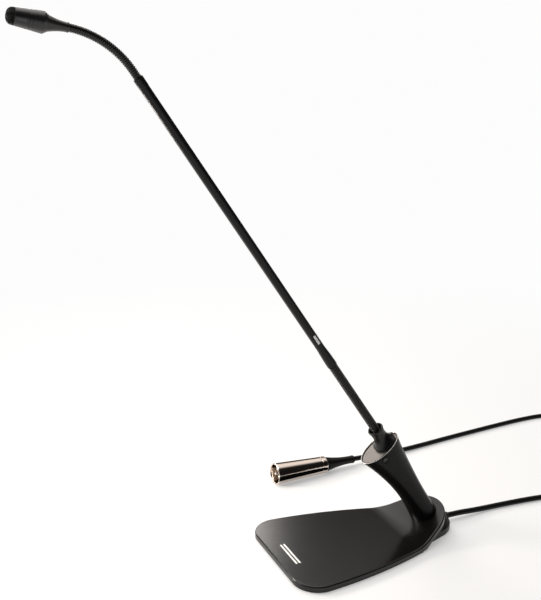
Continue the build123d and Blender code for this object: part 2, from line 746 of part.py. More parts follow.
def upper_sleeve():
    socket = FLEX_SPIGOT_RADIUS + SPIGOT_GAP
    return placed(
        NECK,
        turned(
            (WIRE_BORE, STEM_HIGH - SPIGOT_LENGTH),
            (SPIGOT_RADIUS, STEM_HIGH - SPIGOT_LENGTH),
            (SPIGOT_RADIUS, STEM_HIGH),
            (SLEEVE_RADIUS - 0.1, STEM_HIGH),
            (SLEEVE_RADIUS, STEM_HIGH + 0.2),
            (SLEEVE_RADIUS, FLEX_LOW - 0.3),
            (SLEEVE_RADIUS - 0.3, FLEX_LOW),
            (socket, FLEX_LOW),
            (socket, FLEX_LOW - SPIGOT_LENGTH - SPIGOT_GAP),
            (WIRE_BORE, FLEX_LOW - SPIGOT_LENGTH - SPIGOT_GAP),
        ),
    )


# ---------------------------------------------------------------- head
def head_outer(distance):
    """Outer radius of the tapering head at a distance from the rear of its neck."""
    full_at = NECK_LENGTH + HEAD_CHAMFER
    share = (distance - full_at) / (HEAD_LENGTH - full_at)
    return HEAD_RADIUS + (NOSE_RADIUS - HEAD_RADIUS) * share


def head_neck():
    socket = FLEX_SPIGOT_RADIUS + SPIGOT_GAP
    return placed(
        HEAD,
        turned(
            (socket, 0),
            (NECK_REAR_RADIUS, 0),
            (NECK_REAR_RADIUS, 0.8),
            (NECK_REAR_RADIUS + 0.25, NECK_LENGTH * 0.3),
            (NECK_REAR_RADIUS + 0.85, NECK_LENGTH * 0.56),
            (NECK_REAR_RADIUS + 1.55, NECK_LENGTH * 0.8),
            (NECK_FRONT_RADIUS, NECK_LENGTH),
            (WIRE_BORE, NECK_LENGTH),
            (WIRE_BORE, SPIGOT_LENGTH + SPIGOT_GAP),
            (socket, SPIGOT_LENGTH + SPIGOT_GAP),
        ),
    )


def head_shell():
    """Rear part of the head: chamfered shoulder, one shallow groove, hollow for the capsule."""
    full_at = NECK_LENGTH + HEAD_CHAMFER
    inner = head_outer(SHELL_END) - HEAD_WALL
    groove = SHELL_END - 2.0
    return placed(
        HEAD,
        turned(
            (0, NECK_LENGTH),
            (NECK_FRONT_RADIUS + 0.25, NECK_LENGTH),
            (HEAD_RADIUS - 0.15, full_at - 0.3),
            (HEAD_RADIUS, full_at),
            (head_outer(groove), groove),
            (head_outer(groove) - 0.3, groove + 0.2),
            (head_outer(groove) - 0.3, groove + 0.6),
            (head_outer(groove), groove + 0.8),
            (head_outer(SHELL_END), SHELL_END),
            (inner, SHELL_END),
            (inner, full_at),
            (0, full_at),
        ),
    )


NOSE_ROUND = 1.6
WINDOW_LOW = SHELL_END + 1.6
WINDOW_HIGH = SHELL_END + 6.0


def front_grille():
    """Front cap: tapering wall with side windows and a round front opening."""
    outer_rear = head_outer(SHELL_END) - 0.06
    nose_side = head_outer(HEAD_LENGTH - NOSE_ROUND)
    opening = NOSE_RADIUS - NOSE_ROUND
    cap = turned(
        (outer_rear - HEAD_WALL, SHELL_END),
        (outer_rear, SHELL_END),
        (nose_side, HEAD_LENGTH - NOSE_ROUND),
        (nose_side - 0.25, HEAD_LENGTH - NOSE_ROUND * 0.45),
        (nose_side - 0.8, HEAD_LENGTH - NOSE_ROUND * 0.1),
        (opening + 0.2, HEAD_LENGTH),
        (opening, HEAD_LENGTH - 0.2),
        (opening, HEAD_LENGTH - 1.0),
        (nose_side - HEAD_WALL, HEAD_LENGTH - NOSE_ROUND - 0.4),
    )
    for step in range(WINDOW_COUNT):
        window = block((3.0, -1.1, WINDOW_LOW), (9.0, 1.1, WINDOW_HIGH))
        cap -= Rot(0, 0, 360 * step / WINDOW_COUNT) * window
    return placed(HEAD, cap)


def grille_foam():
    inset = HEAD_WALL + 0.16
    low = SHELL_END + 2.4
    high = HEAD_LENGTH - NOSE_ROUND - 0.6
    sides = [(head_outer(height) - inset, height) for height in (low, high)]
    return placed(HEAD, turned((0, low), *sides, (0, high)))


def capsule():
    return placed(HEAD, rod(CAPSULE_RADIUS, NECK_LENGTH + HEAD_CHAMFER + 0.6, SHELL_END + 2.2))


def capsule_gasket():
    outer = head_outer(SHELL_END) - HEAD_WALL - SPIGOT_GAP
    low = SHELL_END - 3.4
    high = SHELL_END - 0.4
    inner = CAPSULE_RADIUS + SPIGOT_GAP
    return placed(HEAD, turned((inner, low), (outer, low), (outer, high), (inner, high)))


# ---------------------------------------------------------------- lead and its plug
def plug_direction():
    """Unit vector from the plug's mouth back along its axis."""
    yaw = math.radians(CORD_PLUG_YAW)
    tip = math.radians(CORD_PLUG_TIP)
    return (-math.sin(yaw) * math.cos(tip), math.cos(yaw) * math.cos(tip), -math.sin(tip))


CORD_PLUG = Plane(origin=CORD_PLUG_MOUTH, x_dir=X_AXIS, z_dir=plug_direction())
BOOT_END = CORD_SHELL_LENGTH + BOOT_LENGTH
CORD_PIN_PLACES = ring_places(3, CORD_PIN_CIRCLE, 90)
INSERT_END = CORD_MOUTH_DEPTH + CORD_INSERT_DEPTH


def shell_outer(distance):
    """Outer radius of the tapering plug shell at a distance from its mouth."""
    return CORD_SHELL_MOUTH + (CORD_SHELL_TAIL - CORD_SHELL_MOUTH) * distance / CORD_SHELL_LENGTH


def cord_plug_shell():
    seam = CORD_SHELL_LENGTH - 5.0
    return placed(
        CORD_PLUG,
        turned(
            (CORD_MOUTH_BORE, 0),
            (shell_outer(0) - 0.3, 0),
            (shell_outer(0), 0.3),
            (shell_outer(seam), seam),
            (shell_outer(seam) - 0.35, seam + 0.1),
            (shell_outer(seam) - 0.35, seam + 0.7),
            (shell_outer(seam), seam + 0.8),
            (shell_outer(CORD_SHELL_LENGTH - 0.4), CORD_SHELL_LENGTH - 0.4),
            (shell_outer(CORD_SHELL_LENGTH) - 0.4, CORD_SHELL_LENGTH),
            (CORD_TAIL_BORE, CORD_SHELL_LENGTH),
            (CORD_TAIL_BORE, INSERT_END),
            (CORD_MOUTH_BORE, INSERT_END),
        ),
    )


def cord_plug_insert():
    insert = rod(CORD_MOUTH_BORE - SPIGOT_GAP, CORD_MOUTH_DEPTH, INSERT_END)
    insert += rod(CORD_TAIL_BORE - SPIGOT_GAP, INSERT_END, INSERT_END + 5)
    for x, y in CORD_PIN_PLACES:
        insert -= rod(CORD_PIN_ROOT + SPIGOT_GAP, CORD_MOUTH_DEPTH - 1, INSERT_END + 6, x, y)
    return placed(CORD_PLUG, insert)


def cord_plug_pins():
    pin = turned(
        (0, CORD_PIN_SETBACK),
        (CORD_PIN_RADIUS - 0.5, CORD_PIN_SETBACK),
        (CORD_PIN_RADIUS, CORD_PIN_SETBACK + 0.8),
        (CORD_PIN_RADIUS, CORD_MOUTH_DEPTH),
        (CORD_PIN_ROOT, CORD_MOUTH_DEPTH),
        (CORD_PIN_ROOT, INSERT_END + 7),
        (0, INSERT_END + 7),
    )
    return [placed(CORD_PLUG, Pos(x, y, 0) * pin) for x, y in CORD_PIN_PLACES]


def cord_plug_chuck():
    """Split collet that grips the lead inside the shell."""
    low = CORD_SHELL_LENGTH - 14
    high = CORD_SHELL_LENGTH - 1.0
    grip = turned(
        (CORD_RADIUS + SPIGOT_GAP, low),
        (CORD_TAIL_BORE - SPIGOT_GAP, low),
        (CORD_TAIL_BORE - SPIGOT_GAP, high),
        (CORD_RADIUS + SPIGOT_GAP, high),
    )
    return placed(CORD_PLUG, grip - block((CORD_RADIUS, -0.4, low - 1), (20, 0.4, high + 1)))


def cord_boot():
    start = CORD_SHELL_LENGTH
    return placed(
        CORD_PLUG,
        turned(
            (0, start),
            (BOOT_RADIUS, start),
            (BOOT_RADIUS - 0.5, start + BOOT_LENGTH * 0.16),
            (BOOT_RADIUS - 1.7, start + BOOT_LENGTH * 0.4),
            (BOOT_RADIUS - 2.7, start + BOOT_LENGTH * 0.64),
            (BOOT_TAIL_RADIUS + 0.1, start + BOOT_LENGTH * 0.86),
            (BOOT_TAIL_RADIUS, start + BOOT_LENGTH),
            (0, start + BOOT_LENGTH),
        ),
    )


def behind_cover(route):
    """Route points with their distances behind the rear cover made into places."""
    return [(x, COVER_END + back, z) for x, back, z in route]


def cord_tube(name, route):
    """Round cord of straight runs and tangent arcs, each arc as large as its runs allow."""
    points = [Vector(*point) for point in route]
    radii = []
    for before, corner, after in zip(points, points[1:], points[2:]):
        half_turn = math.radians((corner - before).get_angle(after - corner) / 2)
        shorter = min((corner - before).length, (after - corner).length)
        radii.append(0.45 * shorter / math.tan(half_turn))
    path = FilletPolyline(*points, radius=radii)
    start = Plane(origin=path @ 0, z_dir=path % 0)
    tube = sweep(start * Circle(CORD_RADIUS), path=path)
    expected = math.pi * CORD_RADIUS**2 * path.length
    print(name, "length", round(path.length, 1), "radii", [round(radius, 1) for radius in radii])
    print(name, "volume", round(tube.volume, 1), "section times length", round(expected, 1))
    return tube, path.length


def cord_coil():
    height = 2 * CORD_RADIUS * COIL_LAYERS
    ring = rod(COIL_OUTER, 0, height) - rod(COIL_INNER, -1, height + 1)
    return Pos(COIL_CENTRE[0], COIL_CENTRE[1], 0) * ring


def cable_gland():
    length = GLAND_LENGTH
    centre_y = BEND_Y + COVER_TAIL + GLAND_PROUD - length / 2
    return Pos(0, centre_y, GLAND_HEIGHT) * Rot(90, 0, 0) * Cylinder(GLAND_RADIUS, length)


GLAND_INNER_Y = BEND_Y + COVER_TAIL + GLAND_PROUD - GLAND_LENGTH
CLAMP_Y = GLAND_INNER_Y - 9.0


def inner_lead():
    length = 15.0
    place = Pos(0, GLAND_INNER_Y - length / 2, GLAND_HEIGHT) * Rot(90, 0, 0)
    return place * Cylinder(CORD_RADIUS, length)


def cable_clamp():
    """Saddle over the lead inside the rear cover."""
    low = (-8.0, CLAMP_Y - 2.5, PAD_THICK + COVER_FLOOR)
    high = (8.0, CLAMP_Y + 2.5, GLAND_HEIGHT + CORD_RADIUS + 1.2)
    lead_hole = Pos(0, CLAMP_Y, GLAND_HEIGHT) * Rot(90, 0, 0) * Cylinder(CORD_RADIUS + SPIGOT_GAP, 10)
    clamp = block(low, high) - lead_hole
    for side in (-1, 1):
        clamp -= rod(SCREW_RADIUS + SPIGOT_GAP, high[2] - 4.1, high[2] + 1, side * 5.4, CLAMP_Y)
    return clamp


def clamp_screws():
    top = GLAND_HEIGHT + CORD_RADIUS + 1.2
    head = 2.3
    screw = turned(
        (0, top - 4.0),
        (SCREW_RADIUS, top - 4.0),
        (SCREW_RADIUS, top),
        (head, top),
        (head, top + 0.9),
        (0, top + 0.9),
    )
    return [Pos(side * 5.4, CLAMP_Y, 0) * screw for side in (-1, 1)]


# ---------------------------------------------------------------- write every node
keep("base_casting", base_casting())
keep("base_weight", base_weight())
keep("bottom_cover", bottom_cover())
keep("rubber_pads", *rubber_pads())
keep("base_screws", *[Pos(x, y, 0) * base_screw() for x, y in BOSS_PLACES])
keep("rear_cover", rear_cover())
keep("post_shell", post_shell())
keep("post_top_plate", post_top_plate())
keep("post_screws", *post_screws())
keep("socket_housing", socket_housing())
keep("socket_insert", socket_insert())
keep("socket_contacts", *socket_contacts())
keep("circuit_board", circuit_board())
keep("board_parts", *board_parts())
keep("cable_gland", cable_gland())
keep("inner_lead", inner_lead())
keep("cable_clamp", cable_clamp())
keep("clamp_screws", *clamp_screws())
keep("release_button", release_button())
keep("latch_slide", latch_slide())
keep("button_spring", button_spring())

keep("collar", collar())
keep("plug_housing", plug_housing())
keep("plug_insert", plug_insert())
keep("plug_contacts", *plug_contacts())
grip_top = SEAT + COLLAR_SEAT_DEPTH
lower_root = root_stub(grip_top, LOWER_FIRST, LOWER_RADIUS, LOWER_BALL, COLLAR_GRIP_RADIUS, SEAT)
keep("lower_flex_root", placed(NECK, lower_root))
for step in range(1, LOWER_JOINTS):
    place = Pos(0, 0, LOWER_FIRST + (step - 1) * LOWER_LINK)
    keep(f"lower_flex_{step}", placed(NECK, place * link(LOWER_LINK, LOWER_RADIUS, LOWER_BALL)))
lower_end = end_stub(JOINT_STANDOFF, LOWER_RADIUS, LOWER_BALL, LOWER_RADIUS - 0.8, SPIGOT_LENGTH)
keep("lower_flex_end", placed(NECK, Pos(0, 0, FERRULE_LOW - JOINT_STANDOFF) * lower_end))
keep("lower_ferrule", lower_ferrule())
keep("stem_tube", stem_tube())
keep("stem_wires", stem_wires())
keep("upper_sleeve", upper_sleeve())
spigot_low = FLEX_LOW - SPIGOT_LENGTH
upper_root = root_stub(FLEX_LOW, FIRST_UPPER, UPPER_RADIUS, UPPER_BALL, FLEX_SPIGOT_RADIUS, spigot_low)
keep("upper_flex_root", placed(NECK, upper_root))
for step in range(1, UPPER_JOINTS):
    frame = turned_frame(UPPER_CENTRES[step - 1], step * TURN_STEP)
    keep(f"upper_flex_{step}", placed(frame, link(2 * HALF_LINK, UPPER_RADIUS, UPPER_BALL)))
upper_end = end_stub(HALF_LINK, UPPER_RADIUS, UPPER_BALL, FLEX_SPIGOT_RADIUS, SPIGOT_LENGTH)
keep("upper_flex_end", placed(HEAD_JOINT, upper_end))
keep("head_neck", head_neck())
keep("head_shell", head_shell())
keep("front_grille", front_grille())
keep("grille_foam", grille_foam())
keep("capsule", capsule())
keep("capsule_gasket", capsule_gasket())

lead_tube, lead_length = cord_tube("cord_lead", behind_cover(LEAD_ROUTE))
last_run = [tuple(CORD_PLUG.from_local_coords((0, 0, BOOT_END + reach))) for reach in (BOOT_RUN, 0)]
return_tube, return_length = cord_tube("cord_return", behind_cover(RETURN_ROUTE) + last_run)
coil_length = COIL_TURNS * math.pi * (COIL_INNER + COIL_OUTER)
print("whole lead", round(lead_length + return_length + coil_length), "coil", round(coil_length))
keep("cord_lead", lead_tube)
keep("cord_coil", cord_coil())
keep("cord_return", return_tube)
keep("cord_boot", cord_boot())
keep("cord_plug_shell", cord_plug_shell())
keep("cord_plug_insert", cord_plug_insert())
keep("cord_plug_pins", *cord_plug_pins())
keep("cord_plug_chuck", cord_plug_chuck())

print(len(written), "nodes")


def rounded(points):
    return [[round(value, 3) for value in point] for point in points]


for name, plane in (("post", POST), ("gooseneck", NECK), ("head", HEAD)):
    print(name, "frame origin and direction", rounded([plane.origin, plane.z_dir]))
lower_heights = [LOWER_FIRST + step * LOWER_LINK for step in range(LOWER_JOINTS)]
print("lower ball centres", rounded(NECK.from_local_coords((0, 0, up)) for up in lower_heights))
print("upper ball centres", rounded(NECK.from_local_coords((0, *centre)) for centre in UPPER_CENTRES))
print("last run of the lead", rounded(last_run))
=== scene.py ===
import json
import math

import bpy
from mathutils import Matrix, Vector


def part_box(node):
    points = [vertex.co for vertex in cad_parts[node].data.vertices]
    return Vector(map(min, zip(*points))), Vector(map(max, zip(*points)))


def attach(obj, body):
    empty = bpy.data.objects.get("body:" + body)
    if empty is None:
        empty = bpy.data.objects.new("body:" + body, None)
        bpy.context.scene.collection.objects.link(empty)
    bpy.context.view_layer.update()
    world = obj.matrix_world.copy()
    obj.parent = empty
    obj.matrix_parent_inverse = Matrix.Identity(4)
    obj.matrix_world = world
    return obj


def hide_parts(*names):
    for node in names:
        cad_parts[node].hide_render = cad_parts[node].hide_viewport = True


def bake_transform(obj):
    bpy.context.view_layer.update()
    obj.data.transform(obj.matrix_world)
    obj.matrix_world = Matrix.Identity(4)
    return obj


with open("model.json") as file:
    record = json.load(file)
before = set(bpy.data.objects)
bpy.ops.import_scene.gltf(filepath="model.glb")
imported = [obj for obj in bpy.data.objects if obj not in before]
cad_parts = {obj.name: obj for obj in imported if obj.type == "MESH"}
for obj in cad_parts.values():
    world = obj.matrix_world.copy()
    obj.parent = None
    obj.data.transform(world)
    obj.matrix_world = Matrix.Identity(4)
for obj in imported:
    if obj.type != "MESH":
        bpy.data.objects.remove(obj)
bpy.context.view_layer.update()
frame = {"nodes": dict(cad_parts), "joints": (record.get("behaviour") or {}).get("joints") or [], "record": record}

# Gooseneck podium microphone. Metres, +Z up, the microphone faces -Y.
MM = 0.001
joints = {joint["name"]: joint for joint in frame["joints"]}

# ---------------------------------------------------------------- places along the gooseneck
NECK_DIRECTION = Vector(joints["gooseneck_unplug"]["axis"]).normalized()
LOWER_CENTRES = [Vector(joint["pos_m"]) for joint in frame["joints"] if joint["name"].startswith("lower_")]
LEAN = math.atan2(-NECK_DIRECTION.y, NECK_DIRECTION.z)
LOWER_LINK = (LOWER_CENTRES[1] - LOWER_CENTRES[0]).length
FIRST_JOINT = 20.1 * MM  # height of the lowest joint above the post's top
NECK_FOOT = LOWER_CENTRES[0] - FIRST_JOINT * NECK_DIRECTION

COLLAR_TOP = 16.5 * MM
FERRULE_LOW = 84.6 * MM
FLEX_LOW = 332.3 * MM
BEND_START = FLEX_LOW + 4.5 * MM
BEND_RADIUS = 58.6 * MM
BEND = math.radians(45.2)
UPPER_JOINTS = 8
UPPER_LINK = BEND_RADIUS * BEND / UPPER_JOINTS
BEND_END = BEND_START + BEND_RADIUS * BEND

LOWER_RADIUS = 3.45 * MM
UPPER_RADIUS = 2.65 * MM
STEM_RADIUS = 3.15 * MM


def neck_frame(height):
    """Frame on the gooseneck's centre line: x across, y to the rear, z along it."""
    turn = min(max((height - BEND_START) / BEND_RADIUS, 0.0), BEND)
    along = Vector((0, -math.sin(LEAN + turn), math.cos(LEAN + turn)))
    rearwards = Vector((0, math.cos(LEAN + turn), math.sin(LEAN + turn)))
    start = NECK_FOOT + min(height, BEND_START) * NECK_DIRECTION
    first_rear = Vector((0, math.cos(LEAN), math.sin(LEAN)))
    across = BEND_RADIUS * (1 - math.cos(turn))
    place = start + BEND_RADIUS * math.sin(turn) * NECK_DIRECTION - across * first_rear
    place += max(height - BEND_END, 0.0) * along
    turned_axes = Matrix((Vector((1, 0, 0)), rearwards, along)).transposed().to_4x4()
    return Matrix.Translation(place) @ turned_axes


POST_TOP = Vector((0, 12.431, 77.616)) * MM
POST_RIM_HALF_WIDTH = 10.9 * MM
POST_RIM_HALF_LENGTH = 17.2 * MM
BUTTON_FACE = 10.9 * MM  # how far the button's face lies from the middle plane

NECK = neck_frame(0.0)
HEAD = neck_frame(BEND_END)
PLUG_MOUTH = Vector((-115.8, -22.5, 9.5)) * MM
PLUG_AXIS = Vector((-0.05578, 0.99777, -0.03664)).normalized()
PLUG = Matrix.Translation(PLUG_MOUTH) @ PLUG_AXIS.to_track_quat("Z", "Y").to_matrix().to_4x4()

# ---------------------------------------------------------------- camera and light
CAMERA_PLACE = (0.5427, -0.32803, 0.36965)
CAMERA_AZIMUTH = math.radians(65.52)
CAMERA_ELEVATION = math.radians(15.4)
CAMERA_ROLL = math.radians(0.59)
CAMERA_LENS = 53.73


def make_camera():
    data = bpy.data.cameras.new("camera")
    data.lens = CAMERA_LENS
    data.clip_start = 0.01
    data.clip_end = 50
    camera = bpy.data.objects.new("camera", data)
    bpy.context.scene.collection.objects.link(camera)
    level = math.cos(CAMERA_ELEVATION)
    back = Vector(
        (math.sin(CAMERA_AZIMUTH) * level, -math.cos(CAMERA_AZIMUTH) * level, math.sin(CAMERA_ELEVATION))
    )
    turn = (-back).to_track_quat("-Z", "Y").to_matrix() @ Matrix.Rotation(CAMERA_ROLL, 3, "Z")
    camera.matrix_world = Matrix.Translation(CAMERA_PLACE) @ turn.to_4x4()
    bpy.context.scene.camera = camera


def make_area_light(name, place, target, size, power, colour):
    data = bpy.data.lights.new(name, "AREA")
    data.shape = "RECTANGLE"
    data.size, data.size_y = size
    data.energy = power
    data.color = colour
    light = bpy.data.objects.new(name, data)
    bpy.context.scene.collection.objects.link(light)
    direction = Vector(target) - Vector(place)
    light.matrix_world = Matrix.Translation(place) @ direction.to_track_quat("-Z", "Y").to_matrix().to_4x4()


WARM = (1.0, 0.96, 0.92)
# (height of the direction, brightness) for the far half of the studio and for the near half
FAR_DOME = ((-1.0, 0.5), (0.0, 0.10), (0.20, 0.015), (0.46, 0.03), (0.58, 0.8), (0.75, 1.1), (1.0, 0.9))
NEAR_DOME = ((-1.0, 0.5), (0.0, 0.02), (0.10, 0.008), (0.60, 0.01), (0.84, 0.02), (0.92, 0.8), (1.0, 0.9))


def dome_ramp(nodes, links, height, stops):
    """Brightness against the height of the direction, which runs from -1 to 1."""
    share = nodes.new("ShaderNodeMapRange")
    share.inputs["From Min"].default_value = -1.0
    ramp = nodes.new("ShaderNodeValToRGB")
    elements = ramp.color_ramp.elements
    while len(elements) < len(stops):
        elements.new(0.5)
    for element, (level, shade) in zip(elements, stops):
        element.position = (level + 1) / 2
    for element, (level, shade) in zip(elements, stops):
        element.color = (shade * WARM[0], shade * WARM[1], shade * WARM[2], 1)
    links.new(height, share.inputs["Value"])
    links.new(share.outputs["Result"], ramp.inputs["Fac"])
    return ramp.outputs["Color"]


def make_world():
    """Light from high up on the far side, dark near side; the backdrop itself is pale."""
    world = bpy.data.worlds.new("studio")
    bpy.context.scene.world = world
    world.use_nodes = True
    nodes, links = world.node_tree.nodes, world.node_tree.links
    nodes.clear()
    place = nodes.new("ShaderNodeTexCoord")
    split = nodes.new("ShaderNodeSeparateXYZ")
    links.new(place.outputs["Generated"], split.inputs[0])
    side = nodes.new("ShaderNodeMapRange")
    side.interpolation_type = "SMOOTHSTEP"
    side.inputs["From Min"].default_value = -0.15
    side.inputs["From Max"].default_value = 0.30
    links.new(split.outputs["X"], side.inputs["Value"])
    halves = nodes.new("ShaderNodeMix")
    halves.data_type = "RGBA"
    links.new(side.outputs["Result"], halves.inputs["Factor"])
    links.new(dome_ramp(nodes, links, split.outputs["Z"], FAR_DOME), halves.inputs["A"])
    links.new(dome_ramp(nodes, links, split.outputs["Z"], NEAR_DOME), halves.inputs["B"])
    light = nodes.new("ShaderNodeBackground")
    light.inputs["Strength"].default_value = 1.0
    links.new(halves.outputs["Result"], light.inputs["Color"])
    backdrop = nodes.new("ShaderNodeBackground")
    backdrop.inputs["Color"].default_value = (0.98, 0.98, 0.98, 1)
    seen = nodes.new("ShaderNodeLightPath")
    mix = nodes.new("ShaderNodeMixShader")
    out = nodes.new("ShaderNodeOutputWorld")
    links.new(seen.outputs["Is Camera Ray"], mix.inputs["Fac"])
    links.new(light.outputs[0], mix.inputs[1])
    links.new(backdrop.outputs[0], mix.inputs[2])
    links.new(mix.outputs[0], out.inputs["Surface"])


bpy.context.scene.view_settings.view_transform = "Standard"
make_camera()
make_world()
# name, place, target, width and height, power, colour
LIGHTS = [
    ("overhead", (-0.35, -0.1, 1.3), (0, 0.05, 0), (1.2, 1.2), 7.0, (1, 0.98, 0.95)),
    ("bend_panel", (-1.31, 0.03, 0.73), (0, 0.05, 0.03), (0.95, 0.34), 7.0, (1, 0.95, 0.91)),
    ("front_panel", (-0.30, -1.40, 0.50), (-0.05, -0.1, 0.1), (0.6, 0.5), 3.5, (1, 0.97, 0.94)),
    ("mouth_panel", (-0.20, -0.30, 0.16), (-0.116, -0.01, 0.01), (0.10, 0.10), 1.0, (1, 0.93, 0.86)),
]
for light in LIGHTS:
    make_area_light(*light)


# ---------------------------------------------------------------- effects shared by materials
def new_group(name, inputs, outputs):
    group = bpy.data.node_groups.new(name, "ShaderNodeTree")
    for label, kind, value in inputs:
        socket = group.interface.new_socket(name=label, in_out="INPUT", socket_type=kind)
        socket.default_value = value
    for label, kind in outputs:
        group.interface.new_socket(name=label, in_out="OUTPUT", socket_type=kind)
    return group, group.nodes.new("NodeGroupInput"), group.nodes.new("NodeGroupOutput")


def cloud(group, size_socket, detail):
    """Noise in the object's own space at a scale from a socket."""
    place = group.nodes.new("ShaderNodeTexCoord")
    noise = group.nodes.new("ShaderNodeTexNoise")
    noise.inputs["Detail"].default_value = detail
    group.links.new(place.outputs["Object"], noise.inputs["Vector"])
    group.links.new(size_socket, noise.inputs["Scale"])
    return noise.outputs["Fac"]


def mathed(group, operation, first, second):
    node = group.nodes.new("ShaderNodeMath")
    node.operation = operation
    for socket, value in zip(node.inputs, (first, second)):
        if isinstance(value, float):
            socket.default_value = value
        else:
            group.links.new(value, socket)
    return node.outputs[0]


def make_grain():
    """Fine surface texture: a coarse orange peel with a finer grain on it."""
    group, start, end = new_group(
        "grain",
        [("Scale", "NodeSocketFloat", 2000.0), ("Peel", "NodeSocketFloat", 0.4)],
        [("Height", "NodeSocketFloat")],
    )
    fine = cloud(group, start.outputs["Scale"], 3.0)
    wide = cloud(group, mathed(group, "MULTIPLY", start.outputs["Scale"], 0.22), 1.0)
    peel = mathed(group, "MULTIPLY", wide, start.outputs["Peel"])
    group.links.new(mathed(group, "ADD", fine, peel), end.inputs["Height"])
    return group


def make_tone():
    """Slow change of a colour over the surface."""
    group, start, end = new_group(
        "tone",
        [
            ("Color", "NodeSocketColor", (0.5, 0.5, 0.5, 1)),
            ("Spread", "NodeSocketFloat", 0.1),
            ("Scale", "NodeSocketFloat", 40.0),
        ],
        [("Color", "NodeSocketColor")],
    )
    level = cloud(group, start.outputs["Scale"], 4.0)
    swing = mathed(group, "MULTIPLY", mathed(group, "SUBTRACT", level, 0.5), start.outputs["Spread"])
    factor = mathed(group, "ADD", mathed(group, "MULTIPLY", swing, 4.0), 1.0)
    scaled = group.nodes.new("ShaderNodeVectorMath")
    scaled.operation = "SCALE"
    group.links.new(start.outputs["Color"], scaled.inputs[0])
    group.links.new(factor, scaled.inputs["Scale"])
    group.links.new(scaled.outputs[0], end.inputs["Color"])
    return group


def make_handling():
    """Roughness with broad smudges and fine streaks."""
    group, start, end = new_group(
        "handling",
        [
            ("Base", "NodeSocketFloat", 0.4),
            ("Spread", "NodeSocketFloat", 0.06),
            ("Scale", "NodeSocketFloat", 55.0),
        ],
        [("Roughness", "NodeSocketFloat")],
    )
    smudge = cloud(group, start.outputs["Scale"], 5.0)
    streak = cloud(group, mathed(group, "MULTIPLY", start.outputs["Scale"], 14.0), 2.0)
    both = mathed(group, "ADD", mathed(group, "MULTIPLY", streak, 0.35), smudge)
    swing = mathed(group, "MULTIPLY", mathed(group, "SUBTRACT", both, 0.675), start.outputs["Spread"])
    rough = mathed(group, "ADD", mathed(group, "MULTIPLY", swing, 4.0), start.outputs["Base"])
    group.links.new(mathed(group, "MAXIMUM", rough, 0.02), end.inputs["Roughness"])
    return group


def make_dust():
    """Sparse pale specks that settle on faces turned upwards."""
    group, start, end = new_group(
        "dust",
        [
            ("Color", "NodeSocketColor", (0.02, 0.02, 0.02, 1)),
            ("Amount", "NodeSocketFloat", 0.1),
            ("Scale", "NodeSocketFloat", 900.0),
        ],
        [("Color", "NodeSocketColor")],
    )
    specks = cloud(group, start.outputs["Scale"], 1.0)
    patches = cloud(group, mathed(group, "MULTIPLY", start.outputs["Scale"], 0.03), 2.0)
    level = mathed(group, "ADD", specks, mathed(group, "MULTIPLY", patches, 0.3))
    sparse = mathed(group, "GREATER_THAN", level, 0.88)
    surface = group.nodes.new("ShaderNodeNewGeometry")
    split = group.nodes.new("ShaderNodeSeparateXYZ")
    group.links.new(surface.outputs["Normal"], split.inputs[0])
    upwards = mathed(group, "MAXIMUM", split.outputs["Z"], 0.0)
    mask = mathed(group, "MULTIPLY", mathed(group, "MULTIPLY", sparse, upwards), start.outputs["Amount"])
    mix = group.nodes.new("ShaderNodeMix")
    mix.data_type = "RGBA"
    mix.inputs["B"].default_value = (0.35, 0.33, 0.30, 1)
    group.links.new(mask, mix.inputs["Factor"])
    group.links.new(start.outputs["Color"], mix.inputs["A"])
    group.links.new(mix.outputs["Result"], end.inputs["Color"])
    return group


GRAIN, TONE, HANDLING, DUST = make_grain(), make_tone(), make_handling(), make_dust()


def placed_group(nodes, group, **values):
    node = nodes.new("ShaderNodeGroup")
    node.node_tree = group
    for label, value in values.items():
        node.inputs[label].default_value = value
    return node


def finish(
    name,
    colour,
    rough,
    tone=0.08,
    tone_scale=45.0,
    smudge=0.03,
    grain=0.0,
    grain_scale=2000.0,
    peel=0.4,
    dust=0.0,
    **sockets,
):
    """Material of one finish; sockets are uniform values of the shader, by their own names."""
    material = bpy.data.materials.new(name)
    material.use_nodes = True
    nodes, links = material.node_tree.nodes, material.node_tree.links
    shader = nodes["Principled BSDF"]
    for label, value in sockets.items():
        shader.inputs[label.replace("_", " ")].default_value = value
    tinted = placed_group(nodes, TONE, Color=(*colour, 1), Spread=tone, Scale=tone_scale)
    shade = tinted.outputs["Color"]
    if dust:
        settled = placed_group(nodes, DUST, Amount=dust)
        links.new(shade, settled.inputs["Color"])
        shade = settled.outputs["Color"]
    links.new(shade, shader.inputs["Base Color"])
    handled = placed_group(nodes, HANDLING, Base=rough, Spread=smudge)
    links.new(handled.outputs["Roughness"], shader.inputs["Roughness"])
    if grain:
        texture = placed_group(nodes, GRAIN, Scale=grain_scale, Peel=peel)
        bump = nodes.new("ShaderNodeBump")
        bump.inputs["Strength"].default_value = 1.0
        bump.inputs["Distance"].default_value = grain * MM
        links.new(texture.outputs["Height"], bump.inputs["Height"])
        links.new(bump.outputs["Normal"], shader.inputs["Normal"])
    return material


